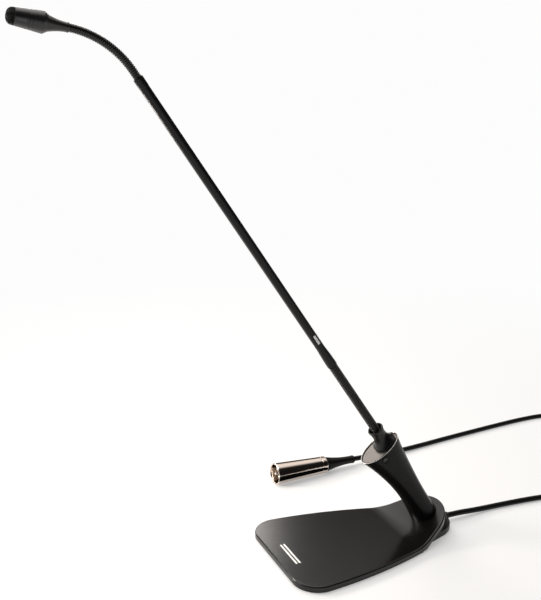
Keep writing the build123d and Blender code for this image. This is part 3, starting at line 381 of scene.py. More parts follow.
def make_finishes():
    """Every finish of the microphone, by the record's slot or by its own name."""
    return {
        "black_casting": finish(
            "black_casting", (0.0050, 0.0045, 0.0045), 0.19, smudge=0.006, grain=0.002,
            grain_scale=2600.0, peel=0.1,
            dust=0.012, Specular_IOR_Level=0.42,
        ),
        "weight_steel": finish(
            "weight_steel", (0.36, 0.35, 0.34), 0.42, tone=0.2, grain=0.02, Metallic=1.0
        ),
        "bottom_plastic": finish(
            "bottom_plastic", (0.02, 0.02, 0.021), 0.6, grain=0.03, grain_scale=2600.0
        ),
        "pad_rubber": finish("pad_rubber", (0.016, 0.016, 0.016), 0.75, grain=0.04, grain_scale=3000.0),
        "screw_steel": finish(
            "screw_steel", (0.33, 0.33, 0.35), 0.32, tone=0.15, grain=0.006, Metallic=1.0
        ),
        "cover_plastic": finish(
            "cover_plastic", (0.010, 0.0094, 0.0096), 0.42, grain=0.03,
            grain_scale=2300.0, peel=0.2, dust=0.02,
            Specular_IOR_Level=0.3,
        ),
        "post_paint": finish(
            "post_paint", (0.0056, 0.005, 0.005), 0.27, smudge=0.006, grain=0.0015,
            grain_scale=2600.0, peel=0.1,
            Specular_IOR_Level=0.14,
        ),
        "top_plate": finish(
            "top_plate", (0.17, 0.157, 0.148), 0.36, smudge=0.01, grain=0.004,
            grain_scale=2500.0, Metallic=0.9
        ),
        "button_plastic": finish("button_plastic", (0.007, 0.007, 0.0073), 0.18, grain=0.001),
        "slide_plastic": finish("slide_plastic", (0.55, 0.54, 0.5), 0.45, grain=0.01),
        "spring_steel": finish("spring_steel", (0.5, 0.49, 0.48), 0.25, tone=0.1, Metallic=1.0),
        "plug_nickel": finish(
            "plug_nickel", (0.78, 0.68, 0.61), 0.10, tone=0.03, smudge=0.0, grain=0.0, Metallic=1.0
        ),
        "insulator": finish("insulator", (0.017, 0.017, 0.018), 0.45, grain=0.01),
        "contact_silver": finish("contact_silver", (0.92, 0.88, 0.82), 0.42, tone=0.04, Metallic=1.0),
        "board_green": finish(
            "board_green", (0.02, 0.12, 0.05), 0.4, tone=0.15, grain=0.01, Coat_Weight=0.3
        ),
        "board_parts": finish("board_parts", (0.03, 0.03, 0.034), 0.5, grain=0.01),
        "gland_rubber": finish("gland_rubber", (0.018, 0.018, 0.018), 0.62, grain=0.02, grain_scale=3000.0),
        "cord_jacket": finish(
            "cord_jacket", (0.0035, 0.0035, 0.0036), 0.36, grain=0.008, grain_scale=2400.0, dust=0.02,
            Specular_IOR_Level=0.18,
        ),
        "clamp_plastic": finish("clamp_plastic", (0.045, 0.045, 0.045), 0.5, grain=0.02),
        "collar_paint": finish(
            "collar_paint", (0.006, 0.0056, 0.0058), 0.28, smudge=0.006, grain=0.001, grain_scale=2600.0,
            Specular_IOR_Level=0.3,
        ),
        "flex_steel": finish(
            "flex_steel", (0.010, 0.0092, 0.0092), 0.20, tone=0.12, grain=0.001, Metallic=0.2
        ),
        "stem_paint": finish(
            "stem_paint", (0.0080, 0.0073, 0.0075), 0.30, smudge=0.01, grain=0.001, grain_scale=2600.0,
            Specular_IOR_Level=0.22,
        ),
        "wires": finish("wires", (0.22, 0.22, 0.23), 0.5, grain=0.01),
        "head_paint": finish(
            "head_paint", (0.0125, 0.0117, 0.0120), 0.33, smudge=0.01, grain=0.001, grain_scale=3200.0
        ),
        "foam": finish(
            "foam", (0.008, 0.008, 0.008), 0.95, tone=0.4, tone_scale=1500.0, grain=0.15, grain_scale=2500.0
        ),
        "capsule_metal": finish("capsule_metal", (0.55, 0.55, 0.56), 0.3, tone=0.08, Metallic=1.0),
        "gasket_rubber": finish("gasket_rubber", (0.028, 0.028, 0.028), 0.7, grain=0.02),
        "chuck_plastic": finish("chuck_plastic", (0.035, 0.035, 0.036), 0.5, grain=0.02),
        "grille_wire": finish("grille_wire", (0.06, 0.058, 0.058), 0.3, tone=0.2, Metallic=0.8),
        "boot_rubber": finish(
            "boot_rubber", (0.0045, 0.0038, 0.0038), 0.42, grain=0.01,
            grain_scale=2600.0, Specular_IOR_Level=0.2
        ),
        # light metal colour on the post's rim bead: a painted highlight along the post's black painted edge
        "painted_rim_highlight": finish("painted_rim_highlight", (0.55, 0.53, 0.51), 0.28, tone=0.05, Metallic=0.7),
        "black_card": finish("black_card", (0.0008, 0.0008, 0.0008), 1.0, Specular_IOR_Level=0.0),
        "mark_white": finish(
            "mark_white", (0.86, 0.86, 0.85), 0.5, tone=0.03, grain=0.004, grain_scale=3000.0
        ),
        "tie_fabric": finish(
            "tie_fabric", (0.02, 0.02, 0.022), 0.85, tone=0.3, tone_scale=1200.0,
            grain=0.08, grain_scale=1800.0
        ),
    }


FINISHES = make_finishes()


def dress(obj, material):
    """Puts one finish on every slot of an object."""
    if not obj.material_slots:
        obj.data.materials.append(material)
    for place in obj.material_slots:
        place.material = material
    return obj


for part in frame["record"]["subparts"]:
    dress(frame["nodes"][part["node"]], FINISHES[part["material_slot"]])


# ---------------------------------------------------------------- modelling helpers
def deselect():
    if bpy.context.object is not None and bpy.context.object.mode != "OBJECT":
        bpy.ops.object.mode_set(mode="OBJECT")
    bpy.ops.object.select_all(action="DESELECT")


def pick(obj):
    deselect()
    obj.select_set(True)
    bpy.context.view_layer.objects.active = obj


def settle(obj):
    """Puts the object's turn and place into its mesh."""
    pick(obj)
    bpy.ops.object.transform_apply(location=True, rotation=True, scale=True)


def smooth(obj, degrees=35):
    pick(obj)
    bpy.ops.object.shade_smooth_by_angle(angle=math.radians(degrees))
    return obj


def modify(obj, kind, **settings):
    """Adds a modifier with its settings and applies it."""
    pick(obj)
    modifier = obj.modifiers.new(kind.lower(), kind)
    for key, value in settings.items():
        setattr(modifier, key, value)
    bpy.ops.object.modifier_apply(modifier=modifier.name)
    return obj


def joined(name, *objects):
    deselect()
    for obj in objects:
        obj.select_set(True)
    bpy.context.view_layer.objects.active = objects[0]
    bpy.ops.object.join()
    objects[0].name = name
    return objects[0]


def face_outwards(obj):
    pick(obj)
    bpy.ops.object.mode_set(mode="EDIT")
    bpy.ops.mesh.select_all(action="SELECT")
    bpy.ops.mesh.normals_make_consistent(inside=False)
    bpy.ops.object.mode_set(mode="OBJECT")
    return obj


def choose_faces(obj, test):
    """Goes into edit mode with only the faces whose centre and normal pass the test."""
    pick(obj)
    bpy.ops.object.mode_set(mode="EDIT")
    bpy.ops.mesh.select_mode(type="FACE")
    bpy.ops.mesh.select_all(action="DESELECT")
    bpy.ops.object.mode_set(mode="OBJECT")
    for face in obj.data.polygons:
        face.select = test(face.center, face.normal)
    bpy.ops.object.mode_set(mode="EDIT")


def turned(name, rings, steps=64):
    """Closed round piece about Z, drawn out of a disc through (radius, height) rings in mm."""
    rings = [(radius * MM, height * MM) for radius, height in rings]
    deselect()
    radius, height = rings[0]
    bpy.ops.mesh.primitive_circle_add(
        vertices=steps, radius=radius, location=(0, 0, height), fill_type="NGON"
    )
    obj = bpy.context.object
    obj.name = name
    settle(obj)
    bpy.ops.object.mode_set(mode="EDIT")
    bpy.ops.mesh.select_all(action="SELECT")
    for (radius, height), (wider, higher) in zip(rings, rings[1:]):
        bpy.ops.mesh.extrude_region_move(TRANSFORM_OT_translate={"value": (0, 0, higher - height)})
        growth = wider / radius
        bpy.ops.transform.resize(value=(growth, growth, 1), center_override=(0, 0, higher))
    bpy.ops.object.mode_set(mode="OBJECT")
    return face_outwards(obj)


def put(obj, matrix):
    """Moves the mesh from its own frame to its place."""
    obj.data.transform(matrix)
    obj.data.update()
    return obj


def follow_neck(obj):
    """Carries a piece modelled about Z onto the gooseneck's centre line, height by height."""
    for vertex in obj.data.vertices:
        height = vertex.co.z
        vertex.co = neck_frame(height) @ Vector((vertex.co.x, vertex.co.y, 0))
    obj.data.update()
    return obj


def rides(obj, body, slot, finish_name, *nodes):
    dress(obj, FINISHES[finish_name])
    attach(obj, body)
    if nodes:
        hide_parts(*nodes)
    return obj


# ---------------------------------------------------------------- lead
CORD_DIAMETER = 4.5 * MM
# (x, y, height) in mm along the centre line, from the base to the coil and from the coil to the plug
LEAD_ROUTE = [
    (0.0, 80.3, 5.0),
    (0.0, 92.0, 5.0),
    (-1.0, 108.0, 3.3),
    (-1.7, 124.0, 2.3),
    (-0.9, 144.0, 2.3),
    (0.8, 168.0, 2.3),
    (4.6, 194.0, 2.3),
    (10.6, 217.0, 2.3),
    (14.1, 236.9, 2.3),
]
RETURN_ROUTE = [
    (-0.2, 276.1, 15.7),
    (-22.9, 290.0, 13.6),
    (-44.0, 308.5, 8.2),
    (-65.5, 327.0, 3.9),
    (-89.0, 338.5, 2.5),
    (-113.0, 338.0, 2.3),
    (-132.5, 325.0, 2.3),
    (-142.0, 303.0, 2.3),
    (-142.2, 272.0, 2.3),
    (-139.4, 238.0, 2.3),
    (-136.0, 203.0, 2.3),
    (-132.6, 170.0, 2.3),
    (-128.8, 139.0, 2.3),
    (-124.7, 110.5, 3.2),
    (-121.75, 83.86, 5.59),
    (-120.41, 59.92, 6.47),
]
COIL_CENTRE = (-16.4, 248.0)
COIL_WIDE = 32.5
COIL_NARROW = 19.0
COIL_LAYERS = 4
COIL_TURNS = 15.22
COIL_START = math.radians(-20)
TURN_POINTS = 14
CORD_REST = 2.3  # height in mm of the centre line of a lead that lies on the floor
COIL_TOP = 15.7
LAYER_TURNS = COIL_TURNS / COIL_LAYERS
LAYER_CLIMB = 0.35  # turns over which the lead climbs to the next layer


def coil_points():
    """Centre line of the coil: four flat spirals, in and out by turns, one on the other."""
    count = round(COIL_TURNS * TURN_POINTS)
    points = []
    for step in range(1, count):
        turns = COIL_TURNS * step / count
        layer = min(int(turns / LAYER_TURNS), COIL_LAYERS - 1)
        share = turns / LAYER_TURNS - layer
        inward = share if layer % 2 == 0 else 1 - share
        radius = COIL_WIDE + (COIL_NARROW - COIL_WIDE) * inward
        left = (1 - share) * LAYER_TURNS
        climb = max(0.0, 1 - left / LAYER_CLIMB) if layer < COIL_LAYERS - 1 else 0.0
        angle = COIL_START + 2 * math.pi * turns
        height = min(CORD_REST + CORD_DIAMETER / MM * (layer + climb), COIL_TOP)
        across, back = radius * math.cos(angle), radius * math.sin(angle)
        points.append((COIL_CENTRE[0] + across, COIL_CENTRE[1] + back, height))
    return points


def make_cord():
    points = LEAD_ROUTE + coil_points() + RETURN_ROUTE
    curve = bpy.data.curves.new("lead_cord", "CURVE")
    curve.dimensions = "3D"
    spline = curve.splines.new("NURBS")
    spline.points.add(len(points) - 1)
    for target, point in zip(spline.points, points):
        target.co = (point[0] * MM, point[1] * MM, point[2] * MM, 1)
    spline.order_u = 3
    spline.use_endpoint_u = True
    spline.resolution_u = 6
    curve.bevel_depth = CORD_DIAMETER / 2
    curve.bevel_resolution = 4
    curve.use_fill_caps = True
    cord = bpy.data.objects.new("lead_cord", curve)
    bpy.context.scene.collection.objects.link(cord)
    rides(cord, "base", "cord_jacket", "cord_jacket", "cord_lead", "cord_coil", "cord_return")
    return cord


def make_coil_tie(name, degrees):
    """Strap loop with rounded corners round the coil's turns at one place."""
    wide, tall, along = 19.4 * MM, 18.9 * MM, 11.0 * MM
    middle = (COIL_WIDE + COIL_NARROW) / 2 * MM
    deselect()
    bpy.ops.mesh.primitive_cube_add(size=1, location=(middle, 0, tall / 2 - 0.1 * MM))
    strap = bpy.context.object
    strap.name = name
    strap.scale = (wide, along, tall)
    settle(strap)
    choose_faces(strap, lambda centre, normal: abs(normal.y) > 0.9)
    bpy.ops.mesh.delete(type="FACE")
    bpy.ops.mesh.select_mode(type="EDGE")
    bpy.ops.mesh.select_all(action="DESELECT")
    bpy.ops.object.mode_set(mode="OBJECT")
    for edge in strap.data.edges:
        first, second = (strap.data.vertices[index].co for index in edge.vertices)
        edge.select = abs(first.y - second.y) > along / 2
    bpy.ops.object.mode_set(mode="EDIT")
    bpy.ops.mesh.bevel(offset=3.6 * MM, segments=7, profile=0.5)
    bpy.ops.object.mode_set(mode="OBJECT")
    modify(strap, "SOLIDIFY", thickness=0.9 * MM, offset=-1)
    modify(strap, "BEVEL", width=0.25 * MM, segments=2)
    turn = Matrix.Rotation(math.radians(degrees), 4, "Z")
    put(strap, Matrix.Translation((COIL_CENTRE[0] * MM, COIL_CENTRE[1] * MM, 0)) @ turn)
    face_outwards(strap)
    smooth(strap, 40)
    return rides(strap, "base", "cord_jacket", "tie_fabric")


# ---------------------------------------------------------------- line plug
PLUG_LENGTH = 51.6  # mm, as are the other sizes of the plug
PLUG_MOUTH_RADIUS = 9.5
PLUG_TAIL_RADIUS = 7.6
PIN_CIRCLE = 3.9 * MM


def make_plug_shell():
    """Drawn metal shell: rolled mouth, slow taper, seam ring near its tail and a small latch notch."""
    taper = (PLUG_MOUTH_RADIUS - PLUG_TAIL_RADIUS) / PLUG_LENGTH
    rings = [(6.72, 20.9), (8.12, 20.9), (8.12, 1.2), (8.3, 0.45), (8.62, 0.08)]
    rings += [(8.95, 0.0), (9.25, 0.12)]
    rings += [(9.44, 0.45), (9.47, 1.0)]
    sides = (6, 14, 24, 34, 38.6, 39.0, 41.0, 41.4, 45.9)
    rings += [(PLUG_MOUTH_RADIUS - taper * height, height) for height in sides]
    seam = PLUG_MOUTH_RADIUS - taper * 46.3
    rings += [(seam, 46.3), (seam - 0.12, 46.45), (seam - 0.32, 46.55), (seam - 0.32, 46.95)]
    rings += [(seam - 0.12, 47.05), (seam, 47.2), (7.66, 50.6), (PLUG_TAIL_RADIUS, 51.1), (7.42, 51.45)]
    rings += [(7.1, PLUG_LENGTH), (6.72, PLUG_LENGTH)]
    shell = turned("plug_shell", rings, steps=96)

    def on_notch(centre, normal):
        high_side = centre.z > 38.9 * MM and centre.z < 41.1 * MM
        return high_side and abs(centre.x) < 1.3 * MM and centre.y > 6 * MM

    choose_faces(shell, on_notch)
    bpy.ops.mesh.inset(thickness=0.12 * MM)
    bpy.ops.mesh.extrude_region_shrink_fatten(TRANSFORM_OT_shrink_fatten={"value": -0.5 * MM})
    bpy.ops.object.mode_set(mode="OBJECT")
    smooth(shell, 40)
    put(shell, PLUG)
    return rides(shell, "base", "plug_nickel", "plug_nickel", "cord_plug_shell")


def make_plug_boot():
    """Tapered bend relief with a thick root, a waist and a small collar at its end."""
    rings = [(2.3, 51.62), (6.4, 51.62), (6.75, 51.8), (6.85, 52.2)]
    for step in range(1, 17):
        share = step / 16
        rings.append((3.45 + 3.4 * (1 - share) ** 2.2, 52.2 + 28.4 * share))
    rings += [(3.5, 80.7), (3.62, 80.85), (3.66, 81.2), (3.66, 82.1), (3.5, 82.5)]
    rings += [(3.1, 82.6), (2.3, 82.6)]
    boot = turned("plug_boot", rings, steps=64)
    smooth(boot, 40)
    put(boot, PLUG)
    return rides(boot, "base", "gland_rubber", "boot_rubber", "cord_boot")


def make_plug_face():
    """Moulded insert inside the mouth: a round disc, dished towards its middle."""
    rings = [(0.6, 25.5), (6.6, 25.5), (6.6, 20.95), (8.02, 20.8), (8.02, 16.3)]
    rings += [(7.9, 16.05), (7.2, 16.0)]
    rings += [(7.0, 16.35), (6.6, 16.5), (3.0, 16.5), (0.6, 16.5)]
    face = turned("plug_face", rings, steps=72)
    smooth(face, 40)
    put(face, PLUG)
    return rides(face, "base", "insulator", "insulator", "cord_plug_insert")


def make_plug_pins():
    """Three pins with rounded tips, standing from the insert."""
    pins = []
    for step in range(3):
        angle = math.radians(90 + 120 * step)
        rings = [(0.1, 2.2), (0.5, 2.26), (0.85, 2.5), (1.08, 2.85), (1.2, 3.4)]
        rings += [(1.2, 10.0), (1.2, 16.6)]
        pin = turned(f"pin_{step}", rings, steps=32)
        across, up = PIN_CIRCLE * math.cos(angle), PIN_CIRCLE * math.sin(angle)
        pins.append(put(pin, Matrix.Translation((across, up, 0))))
    pins = joined("plug_pins", *pins)
    smooth(pins, 40)
    put(pins, PLUG)
    return rides(pins, "base", "contact_silver", "contact_silver", "cord_plug_pins")


# ---------------------------------------------------------------- bendable tubes
WIRE_SHARE = 0.86  # wire's width over the pitch, which leaves a thin dark groove between turns
LOWER_WIRE = 0.5 * MM  # half of the wire's height
UPPER_WIRE = 0.38 * MM


def make_wrap(name, radius, wire, pitch, low, high, body_a, body_b, start, end, *nodes):
    """Length of close-wound wire on a core, from a whole number of turns, carried along the neck."""
    turns = round((high - low) / pitch)
    deselect()
    bpy.ops.mesh.primitive_circle_add(
        vertices=12, radius=1, location=(radius - wire, 0, low), rotation=(math.pi / 2, 0, 0)
    )
    coil = bpy.context.object
    coil.scale = (wire, WIRE_SHARE * pitch / 2, 1)
    settle(coil)
    modify(
        coil, "SCREW", axis="Z", angle=2 * math.pi, screw_offset=pitch, iterations=turns,
        steps=28, render_steps=28, use_merge_vertices=False,
    )
    pick(coil)
    bpy.ops.object.mode_set(mode="EDIT")
    bpy.ops.mesh.select_all(action="SELECT")
    bpy.ops.mesh.remove_doubles(threshold=0.0005 * MM)
    bpy.ops.mesh.fill_holes(sides=12)
    bpy.ops.object.mode_set(mode="OBJECT")
    face_outwards(coil)
    steps = turns * 2
    rise = (high - low) / steps / MM
    inner = (radius - wire) / MM
    core = turned("core", [(inner, low / MM + rise * step) for step in range(steps + 1)], steps=28)
    wrap = joined(name, coil, core)
    follow_neck(wrap)
    smooth(wrap, 50)
    dress(wrap, FINISHES["flex_steel"])
    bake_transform(wrap)
    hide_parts(*nodes)
    return wrap


def make_lower_flex():
    """Six lengths, each from the middle of one link to the middle of the next."""
    pitch = LOWER_LINK / 7
    bodies = ["foot"] + [f"lower_link_{step}" for step in range(1, 6)] + ["stem"]
    nodes = ["lower_flex_root"] + [f"lower_flex_{step}" for step in range(1, 6)] + ["lower_flex_end"]
    for step in range(6):
        joint = FIRST_JOINT + step * LOWER_LINK
        low, high = joint - LOWER_LINK / 2, joint + LOWER_LINK / 2
        start, end = low, high
        if step == 0:
            low = high - 13 * pitch
            start = COLLAR_TOP - 1.0 * MM
        if step == 5:
            high = low + 6 * pitch
            end = FERRULE_LOW
        stands_for = nodes[:2] if step == 0 else nodes[step + 1:step + 2]
        make_wrap(
            f"lower_wrap_{step + 1}", LOWER_RADIUS, LOWER_WIRE, pitch, low, high,
            bodies[step], bodies[step + 1],
            neck_frame(start).translation, neck_frame(end).translation, *stands_for,
        )


def make_upper_flex():
    """Eight finer lengths along the forward bend."""
    pitch = UPPER_LINK / 4
    bodies = ["stem"] + [f"upper_link_{step}" for step in range(1, 8)] + ["head"]
    nodes = ["upper_flex_root"] + [f"upper_flex_{step}" for step in range(1, 8)] + ["upper_flex_end"]
    for step in range(8):
        low = BEND_START + step * UPPER_LINK
        high = low + UPPER_LINK
        start, end = low, high
        if step == 0:
            low -= 4 * pitch
            start = BEND_START - 1.2 * MM
        if step == 7:
            high += 2 * pitch
        stands_for = nodes[:2] if step == 0 else nodes[step + 1:step + 2]
        make_wrap(
            f"upper_wrap_{step + 1}", UPPER_RADIUS, UPPER_WIRE, pitch, low, high,
            bodies[step], bodies[step + 1],
            neck_frame(start).translation, neck_frame(end).translation, *stands_for,
        )


# ---------------------------------------------------------------- gooseneck foot and fittings
def make_collar():
    """Trumpet-shaped collar with a rolled lip round its open mouth."""
    rings = [(2.9, 0.02), (8.5, 0.02), (8.5, 0.5), (9.0, 0.55), (9.22, 0.68), (9.3, 0.9), (9.22, 1.12)]
    for step in range(15):
        share = step / 14
        rings.append((5.42 + 3.68 * (1 - share) ** 2.1, 1.25 + 9.0 * share))
    rings += [(5.44, 11.2), (5.52, 12.3), (5.68, 13.4), (5.9, 14.4), (6.12, 15.1)]
    rings += [(6.25, 15.6), (6.22, 16.0)]
    rings += [(6.05, 16.32), (5.75, 16.5), (5.4, 16.46), (5.12, 16.25)]
    rings += [(4.98, 15.8), (4.95, 4.2), (4.7, 4.0)]
    rings += [(2.9, 4.0)]
    collar = turned("collar_skin", rings, steps=96)
    smooth(collar, 40)
    put(collar, NECK)
    return rides(collar, "foot", "collar_paint", "collar_paint", "collar")


def make_fittings():
    """Swaged ferrule over the lower tube and plain sleeve under the upper one."""
    rings = [(3.2, 84.62), (3.45, 84.6), (3.62, 84.68), (3.73, 84.9)]
    rings += [(3.75, 85.3), (3.75, 88.4), (3.72, 89.2)]
    for step in range(1, 10):
        share = step / 9
        ease = share * share * (3 - 2 * share)
        rings.append((3.72 - 0.56 * ease, 89.2 + 15.2 * share))
    rings += [(3.16, 105.2), (2.6, 105.2)]
    ferrule = turned("ferrule_skin", rings, steps=64)
    smooth(ferrule, 40)
    put(ferrule, NECK)
    rides(ferrule, "stem", "stem_paint", "stem_paint", "lower_ferrule")
    rings = [(2.6, 325.1), (3.1, 325.2), (3.24, 325.3), (3.27, 325.6)]
    rings += [(3.27, 331.4), (3.2, 331.9), (3.05, 332.2)]
    rings += [(2.75, 332.3), (2.5, 332.3)]
    sleeve = turned("sleeve_skin", rings, steps=64)
    smooth(sleeve, 40)
    put(sleeve, NECK)
    rides(sleeve, "stem", "stem_paint", "stem_paint", "upper_sleeve")


# ---------------------------------------------------------------- head
def head_radius(distance):
    """Outer radius of the head's tapering side at a distance from the rear of its neck."""
    return 6.55 + (4.75 - 6.55) * (distance - 14.6) / (35.5 - 14.6)


WINDOW_TURN = 2.0  # degrees from the side, where one of the three windows is centred
WINDOW_HALF_ANGLE = 31
GROOVE_DEPTH = 0.36  # mm


def make_head():
    """Waisted neck, chamfered shell with two narrow grooves, capped by a windowed front."""
    rings = [(2.3, -0.2), (2.75, -0.2), (2.95, 0.0), (3.0, 0.35), (2.92, 0.75)]
    for step in range(1, 14):
        share = step / 13
        rings.append((2.84 + 2.2 * share**1.85, 0.75 + 11.85 * share))
    rings += [(5.04, 12.75), (2.3, 12.75)]
    neck = turned("head_neck_skin", rings, steps=80)
    smooth(neck, 40)
    put(neck, HEAD)
    rides(neck, "head", "head_paint", "head_paint", "head_neck")

    rings = [(1.5, 12.5), (5.05, 12.5), (5.28, 12.55), (5.36, 12.75)]
    rings += [(6.30, 14.25), (6.47, 14.5), (6.53, 14.85)]
    rings += [(head_radius(height), height) for height in (15.4, 17.5, 20.3)]
    for groove in (20.5, 22.4):
        side = head_radius(groove)
        rings += [(side, groove), (side - GROOVE_DEPTH, groove + 0.5)]
        rings += [(side - GROOVE_DEPTH, groove + 0.68)]
        rings += [(side - 0.05, groove + 0.8)]
    rings += [(head_radius(23.6), 23.6), (head_radius(23.6) - 1.4, 23.6)]
    shell = turned("head_shell_skin", rings, steps=96)
    smooth(shell, 35)
    put(shell, HEAD)
    rides(shell, "head", "head_paint", "head_paint", "head_shell")

    rings = [(4.2, 23.5), (head_radius(23.5) - 0.1, 23.5), (head_radius(23.8), 23.65)]
    rings += [(head_radius(height), height) for height in (24.4, 25.6, 26.8, 28.0, 29.2, 30.3)]
    rings += [(5.10, 30.5), (5.16, 30.7), (5.14, 30.95), (5.0, 31.1)]
    rings += [(4.6, 31.12), (4.6, 30.2), (4.0, 30.2)]
    front = turned("head_front", rings, steps=96)

    def in_window(centre, normal):
        angle = math.degrees(math.atan2(centre.y, centre.x)) - WINDOW_TURN
        off_centre = abs((angle + 60) % 120 - 60)
        outside = normal.x * centre.x + normal.y * centre.y > 0
        return 24.5 * MM < centre.z < 29.9 * MM and off_centre < WINDOW_HALF_ANGLE and outside

    choose_faces(front, in_window)
    bpy.ops.mesh.inset(thickness=0.22 * MM)
    bpy.ops.mesh.extrude_region_shrink_fatten(TRANSFORM_OT_shrink_fatten={"value": -0.2 * MM})
    bpy.ops.object.mode_set(mode="OBJECT")
    front.data.materials.append(FINISHES["head_paint"])
    front.data.materials.append(FINISHES["grille_wire"])
    for face in front.data.polygons:
        if face.select:
            face.material_index = 1
    smooth(front, 35)
    put(front, HEAD)
    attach(front, "head")
    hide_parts("front_grille")


def mouth_profile(inset, height_steps):
    """Rounded nose of the head as (radius, distance) rings, made smaller by an inset."""
    rings = [(5.0 - inset, 30.6), (4.97 - inset, 31.3), (4.93 - inset, 32.0)]
    for step in range(1, height_steps):
        angle = math.pi / 2 * step / height_steps
        rings.append(((4.9 - inset) * math.cos(angle) ** 0.8, 32.1 + (3.5 - inset) * math.sin(angle)))
    return rings


def make_head_mouth():
    """Rounded nose of woven wire over a foam filling."""
    mesh = turned("mouth_mesh", mouth_profile(0.0, 9), steps=44)
    modify(mesh, "WIREFRAME", thickness=0.2 * MM, use_even_offset=False)
    smooth(mesh, 60)
    put(mesh, HEAD)
    rides(mesh, "head", "head_paint", "grille_wire")
    foam = turned("mouth_foam", mouth_profile(0.45, 10), steps=48)
    smooth(foam, 60)
    put(foam, HEAD)
    rides(foam, "head", "foam", "foam", "grille_foam")


# ---------------------------------------------------------------- button and printed marks
def make_button():
    """Round push button with a raised ring and a dished middle, in a thin bezel."""
    low, high = (Vector(corner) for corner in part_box("release_button"))
    middle = (low + high) / 2
    face = Matrix.Translation((BUTTON_FACE, middle.y, middle.z)) @ Matrix.Rotation(math.pi / 2, 4, "Y")
    rings = [(2.6, -3.4), (2.6, -2.6), (2.2, -2.6), (2.2, -0.25), (2.12, -0.05)]
    rings += [(1.95, 0.02), (1.6, 0.0)]
    rings += [(1.45, -0.12), (1.35, -0.4), (1.1, -0.52), (0.6, -0.55), (0.15, -0.5)]
    button = turned("button_cap", rings)
    smooth(button, 40)
    put(button, face)
    rides(button, "button", "button_plastic", "button_plastic", "release_button")
    rings = [(2.34, -1.2), (2.9, -1.2), (2.9, 0.15), (2.82, 0.36), (2.62, 0.42)]
    rings += [(2.42, 0.36), (2.34, 0.2)]
    bezel = hollow("button_bezel", rings, steps=64)
    smooth(bezel, 40)
    put(bezel, face)
    rides(bezel, "base", "post_paint", "post_paint")


def hollow(name, rings, steps=64):
    """Round ring about Z: a disc drawn through the rings, its two end discs bridged as a bore."""
    ring = turned(name, rings, steps)
    pick(ring)
    bpy.ops.object.mode_set(mode="EDIT")
    bpy.ops.mesh.select_mode(type="FACE")
    bpy.ops.mesh.select_all(action="DESELECT")
    bpy.ops.object.mode_set(mode="OBJECT")
    for face in ring.data.polygons:
        face.select = len(face.vertices) == steps
    bpy.ops.object.mode_set(mode="EDIT")
    bpy.ops.mesh.bridge_edge_loops()
    bpy.ops.object.mode_set(mode="OBJECT")
    return face_outwards(ring)


def make_post_rim():
    """Fine bead along the post's top edge; its light metal colour, brighter than the post's black paint, is a
    painted highlight along the edge.
    """
    deselect()
    bpy.ops.mesh.primitive_circle_add(vertices=128, radius=1)
    rim = bpy.context.object
    rim.name = "post_rim"
    rim.scale = (POST_RIM_HALF_WIDTH, POST_RIM_HALF_LENGTH, 1)
    settle(rim)
    pick(rim)
    bpy.ops.object.convert(target="CURVE")
    rim = bpy.context.object
    rim.data.bevel_depth = 0.3 * MM
    rim.data.bevel_resolution = 3
    pick(rim)
    bpy.ops.object.convert(target="MESH")
    rim = bpy.context.object
    lean = neck_frame(0.0).to_3x3().to_4x4()
    put(rim, Matrix.Translation(POST_TOP) @ lean @ Matrix.Translation((0, 0, -0.05 * MM)))
    face_outwards(rim)
    smooth(rim, 60)
    # the bead takes this light painted-highlight finish in place of the post's black paint
    return rides(rim, "base", "post_paint", "painted_rim_highlight")


PLATE_MARK_CENTRE = Vector((2.2, -63.4, 5.21)) * MM
PLATE_BAR_SIZE = (29.0 * MM, 1.5 * MM, 0.06 * MM)
PLATE_BAR_SHIFT = 1.35 * MM
STEM_MARK_LOW = 107.5 * MM
STEM_MARK_HIGH = 115.5 * MM
STEM_MARK_HALF_ANGLE = math.radians(17)
STEM_MARK_TURN = math.radians(6)


def make_plate_mark():
    """Two plain printed bars near the plate's front edge."""
    bars = []
    for shift in (-PLATE_BAR_SHIFT, PLATE_BAR_SHIFT):
        deselect()
        bpy.ops.mesh.primitive_cube_add(size=1, location=PLATE_MARK_CENTRE + Vector((0, shift, 0)))
        bar = bpy.context.object
        bar.scale = PLATE_BAR_SIZE
        settle(bar)
        bpy.ops.object.mode_set(mode="EDIT")
        bpy.ops.mesh.select_mode(type="EDGE")
        bpy.ops.mesh.select_all(action="DESELECT")
        bpy.ops.object.mode_set(mode="OBJECT")
        for edge in bar.data.edges:
            first, second = (bar.data.vertices[index].co for index in edge.vertices)
            edge.select = abs(first.z - second.z) > 0.01 * MM
        bpy.ops.object.mode_set(mode="EDIT")
        bpy.ops.mesh.bevel(offset=0.7 * MM, segments=6)
        bpy.ops.object.mode_set(mode="OBJECT")
        bars.append(bar)
    mark = joined("plate_mark", *bars)
    return rides(mark, "base", "black_casting", "mark_white")


def make_stem_mark():
    """Plain printed bar that lies along the stem, above the ferrule."""
    deselect()
    bpy.ops.mesh.primitive_grid_add(x_subdivisions=2, y_subdivisions=12, size=1)
    mark = bpy.context.object
    mark.name = "stem_mark"
    for vertex in mark.data.vertices:
        angle = STEM_MARK_TURN + vertex.co.y * 2 * STEM_MARK_HALF_ANGLE
        height = STEM_MARK_LOW + (vertex.co.x + 0.5) * (STEM_MARK_HIGH - STEM_MARK_LOW)
        radius = STEM_RADIUS + 0.03 * MM
        vertex.co = (radius * math.cos(angle), radius * math.sin(angle), height)
    face_outwards(mark)
    modify(mark, "SOLIDIFY", thickness=0.05 * MM, offset=-1)
    face_outwards(mark)
    smooth(mark, 40)
    put(mark, NECK)
    return rides(mark, "stem", "stem_paint", "mark_white")


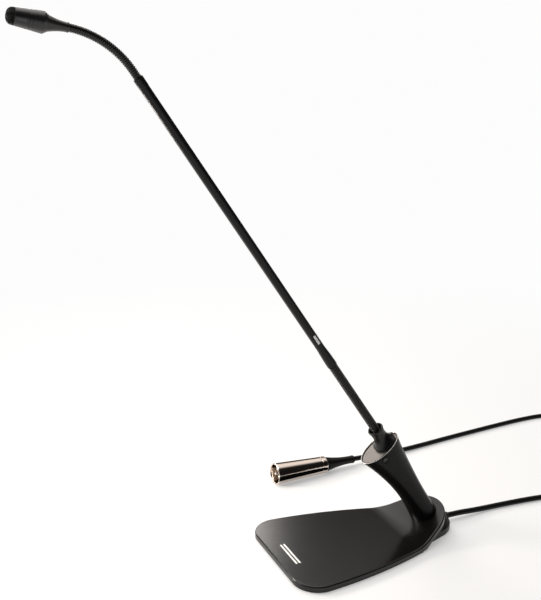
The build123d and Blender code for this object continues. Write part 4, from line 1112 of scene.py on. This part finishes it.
coil_ties = [make_coil_tie("coil_tie_1", 20), make_coil_tie("coil_tie_2", 140)]
plug_pieces = [make_plug_shell(), make_plug_face(), make_plug_pins(), make_plug_boot()]
plug_pieces += [frame["nodes"]["cord_plug_chuck"]]
make_cord()
make_lower_flex()
make_upper_flex()
make_collar()
make_fittings()
make_head()
make_head_mouth()
make_button()
make_post_rim()
make_plate_mark()
make_stem_mark()

# ---------------------------------------------------------------- floor
def make_paper():
    """White paper that passes into the bright backdrop away from the object."""
    paper = bpy.data.materials.new("pale_floor")
    paper.use_nodes = True
    nodes, links = paper.node_tree.nodes, paper.node_tree.links
    nodes["Principled BSDF"].inputs["Base Color"].default_value = (0.93, 0.93, 0.93, 1)
    nodes["Principled BSDF"].inputs["Roughness"].default_value = 0.8
    place = nodes.new("ShaderNodeTexCoord")
    reach = nodes.new("ShaderNodeVectorMath")
    reach.operation = "LENGTH"
    share = nodes.new("ShaderNodeMapRange")
    share.interpolation_type = "SMOOTHSTEP"
    share.inputs["From Min"].default_value = 0.05
    share.inputs["From Max"].default_value = 0.9
    share.inputs["To Min"].default_value = 0.35
    glow = nodes.new("ShaderNodeEmission")
    glow.inputs["Color"].default_value = (0.98, 0.98, 0.98, 1)
    mix = nodes.new("ShaderNodeMixShader")
    links.new(place.outputs["Object"], reach.inputs[0])
    links.new(reach.outputs["Value"], share.inputs["Value"])
    links.new(share.outputs["Result"], mix.inputs["Fac"])
    links.new(nodes["Principled BSDF"].outputs[0], mix.inputs[1])
    links.new(glow.outputs[0], mix.inputs[2])
    links.new(mix.outputs[0], nodes["Material Output"].inputs["Surface"])
    return paper


def make_card():
    """Black card beside the plug, seen only in its reflections."""
    bpy.ops.mesh.primitive_plane_add(size=1)
    card = bpy.context.object
    card.name = "reflection_card"
    card.scale = (52 * MM, 90 * MM, 1)
    settle(card)
    angle = math.atan2(-PLUG_AXIS.x, PLUG_AXIS.y)
    middle = PLUG_MOUTH + PLUG_LENGTH / 2 * MM * PLUG_AXIS + Vector((36 * MM, 0, 0))
    put(card, Matrix.Translation((middle.x, middle.y, 0.4 * MM)) @ Matrix.Rotation(angle, 4, "Z"))
    card.visible_camera = card.visible_diffuse = card.visible_shadow = False
    dress(card, FINISHES["black_card"])


make_card()
bpy.ops.mesh.primitive_plane_add(size=12, location=(0, 0, 0))
floor = bpy.context.object
floor.name = "floor"
floor.data.materials.append(make_paper())
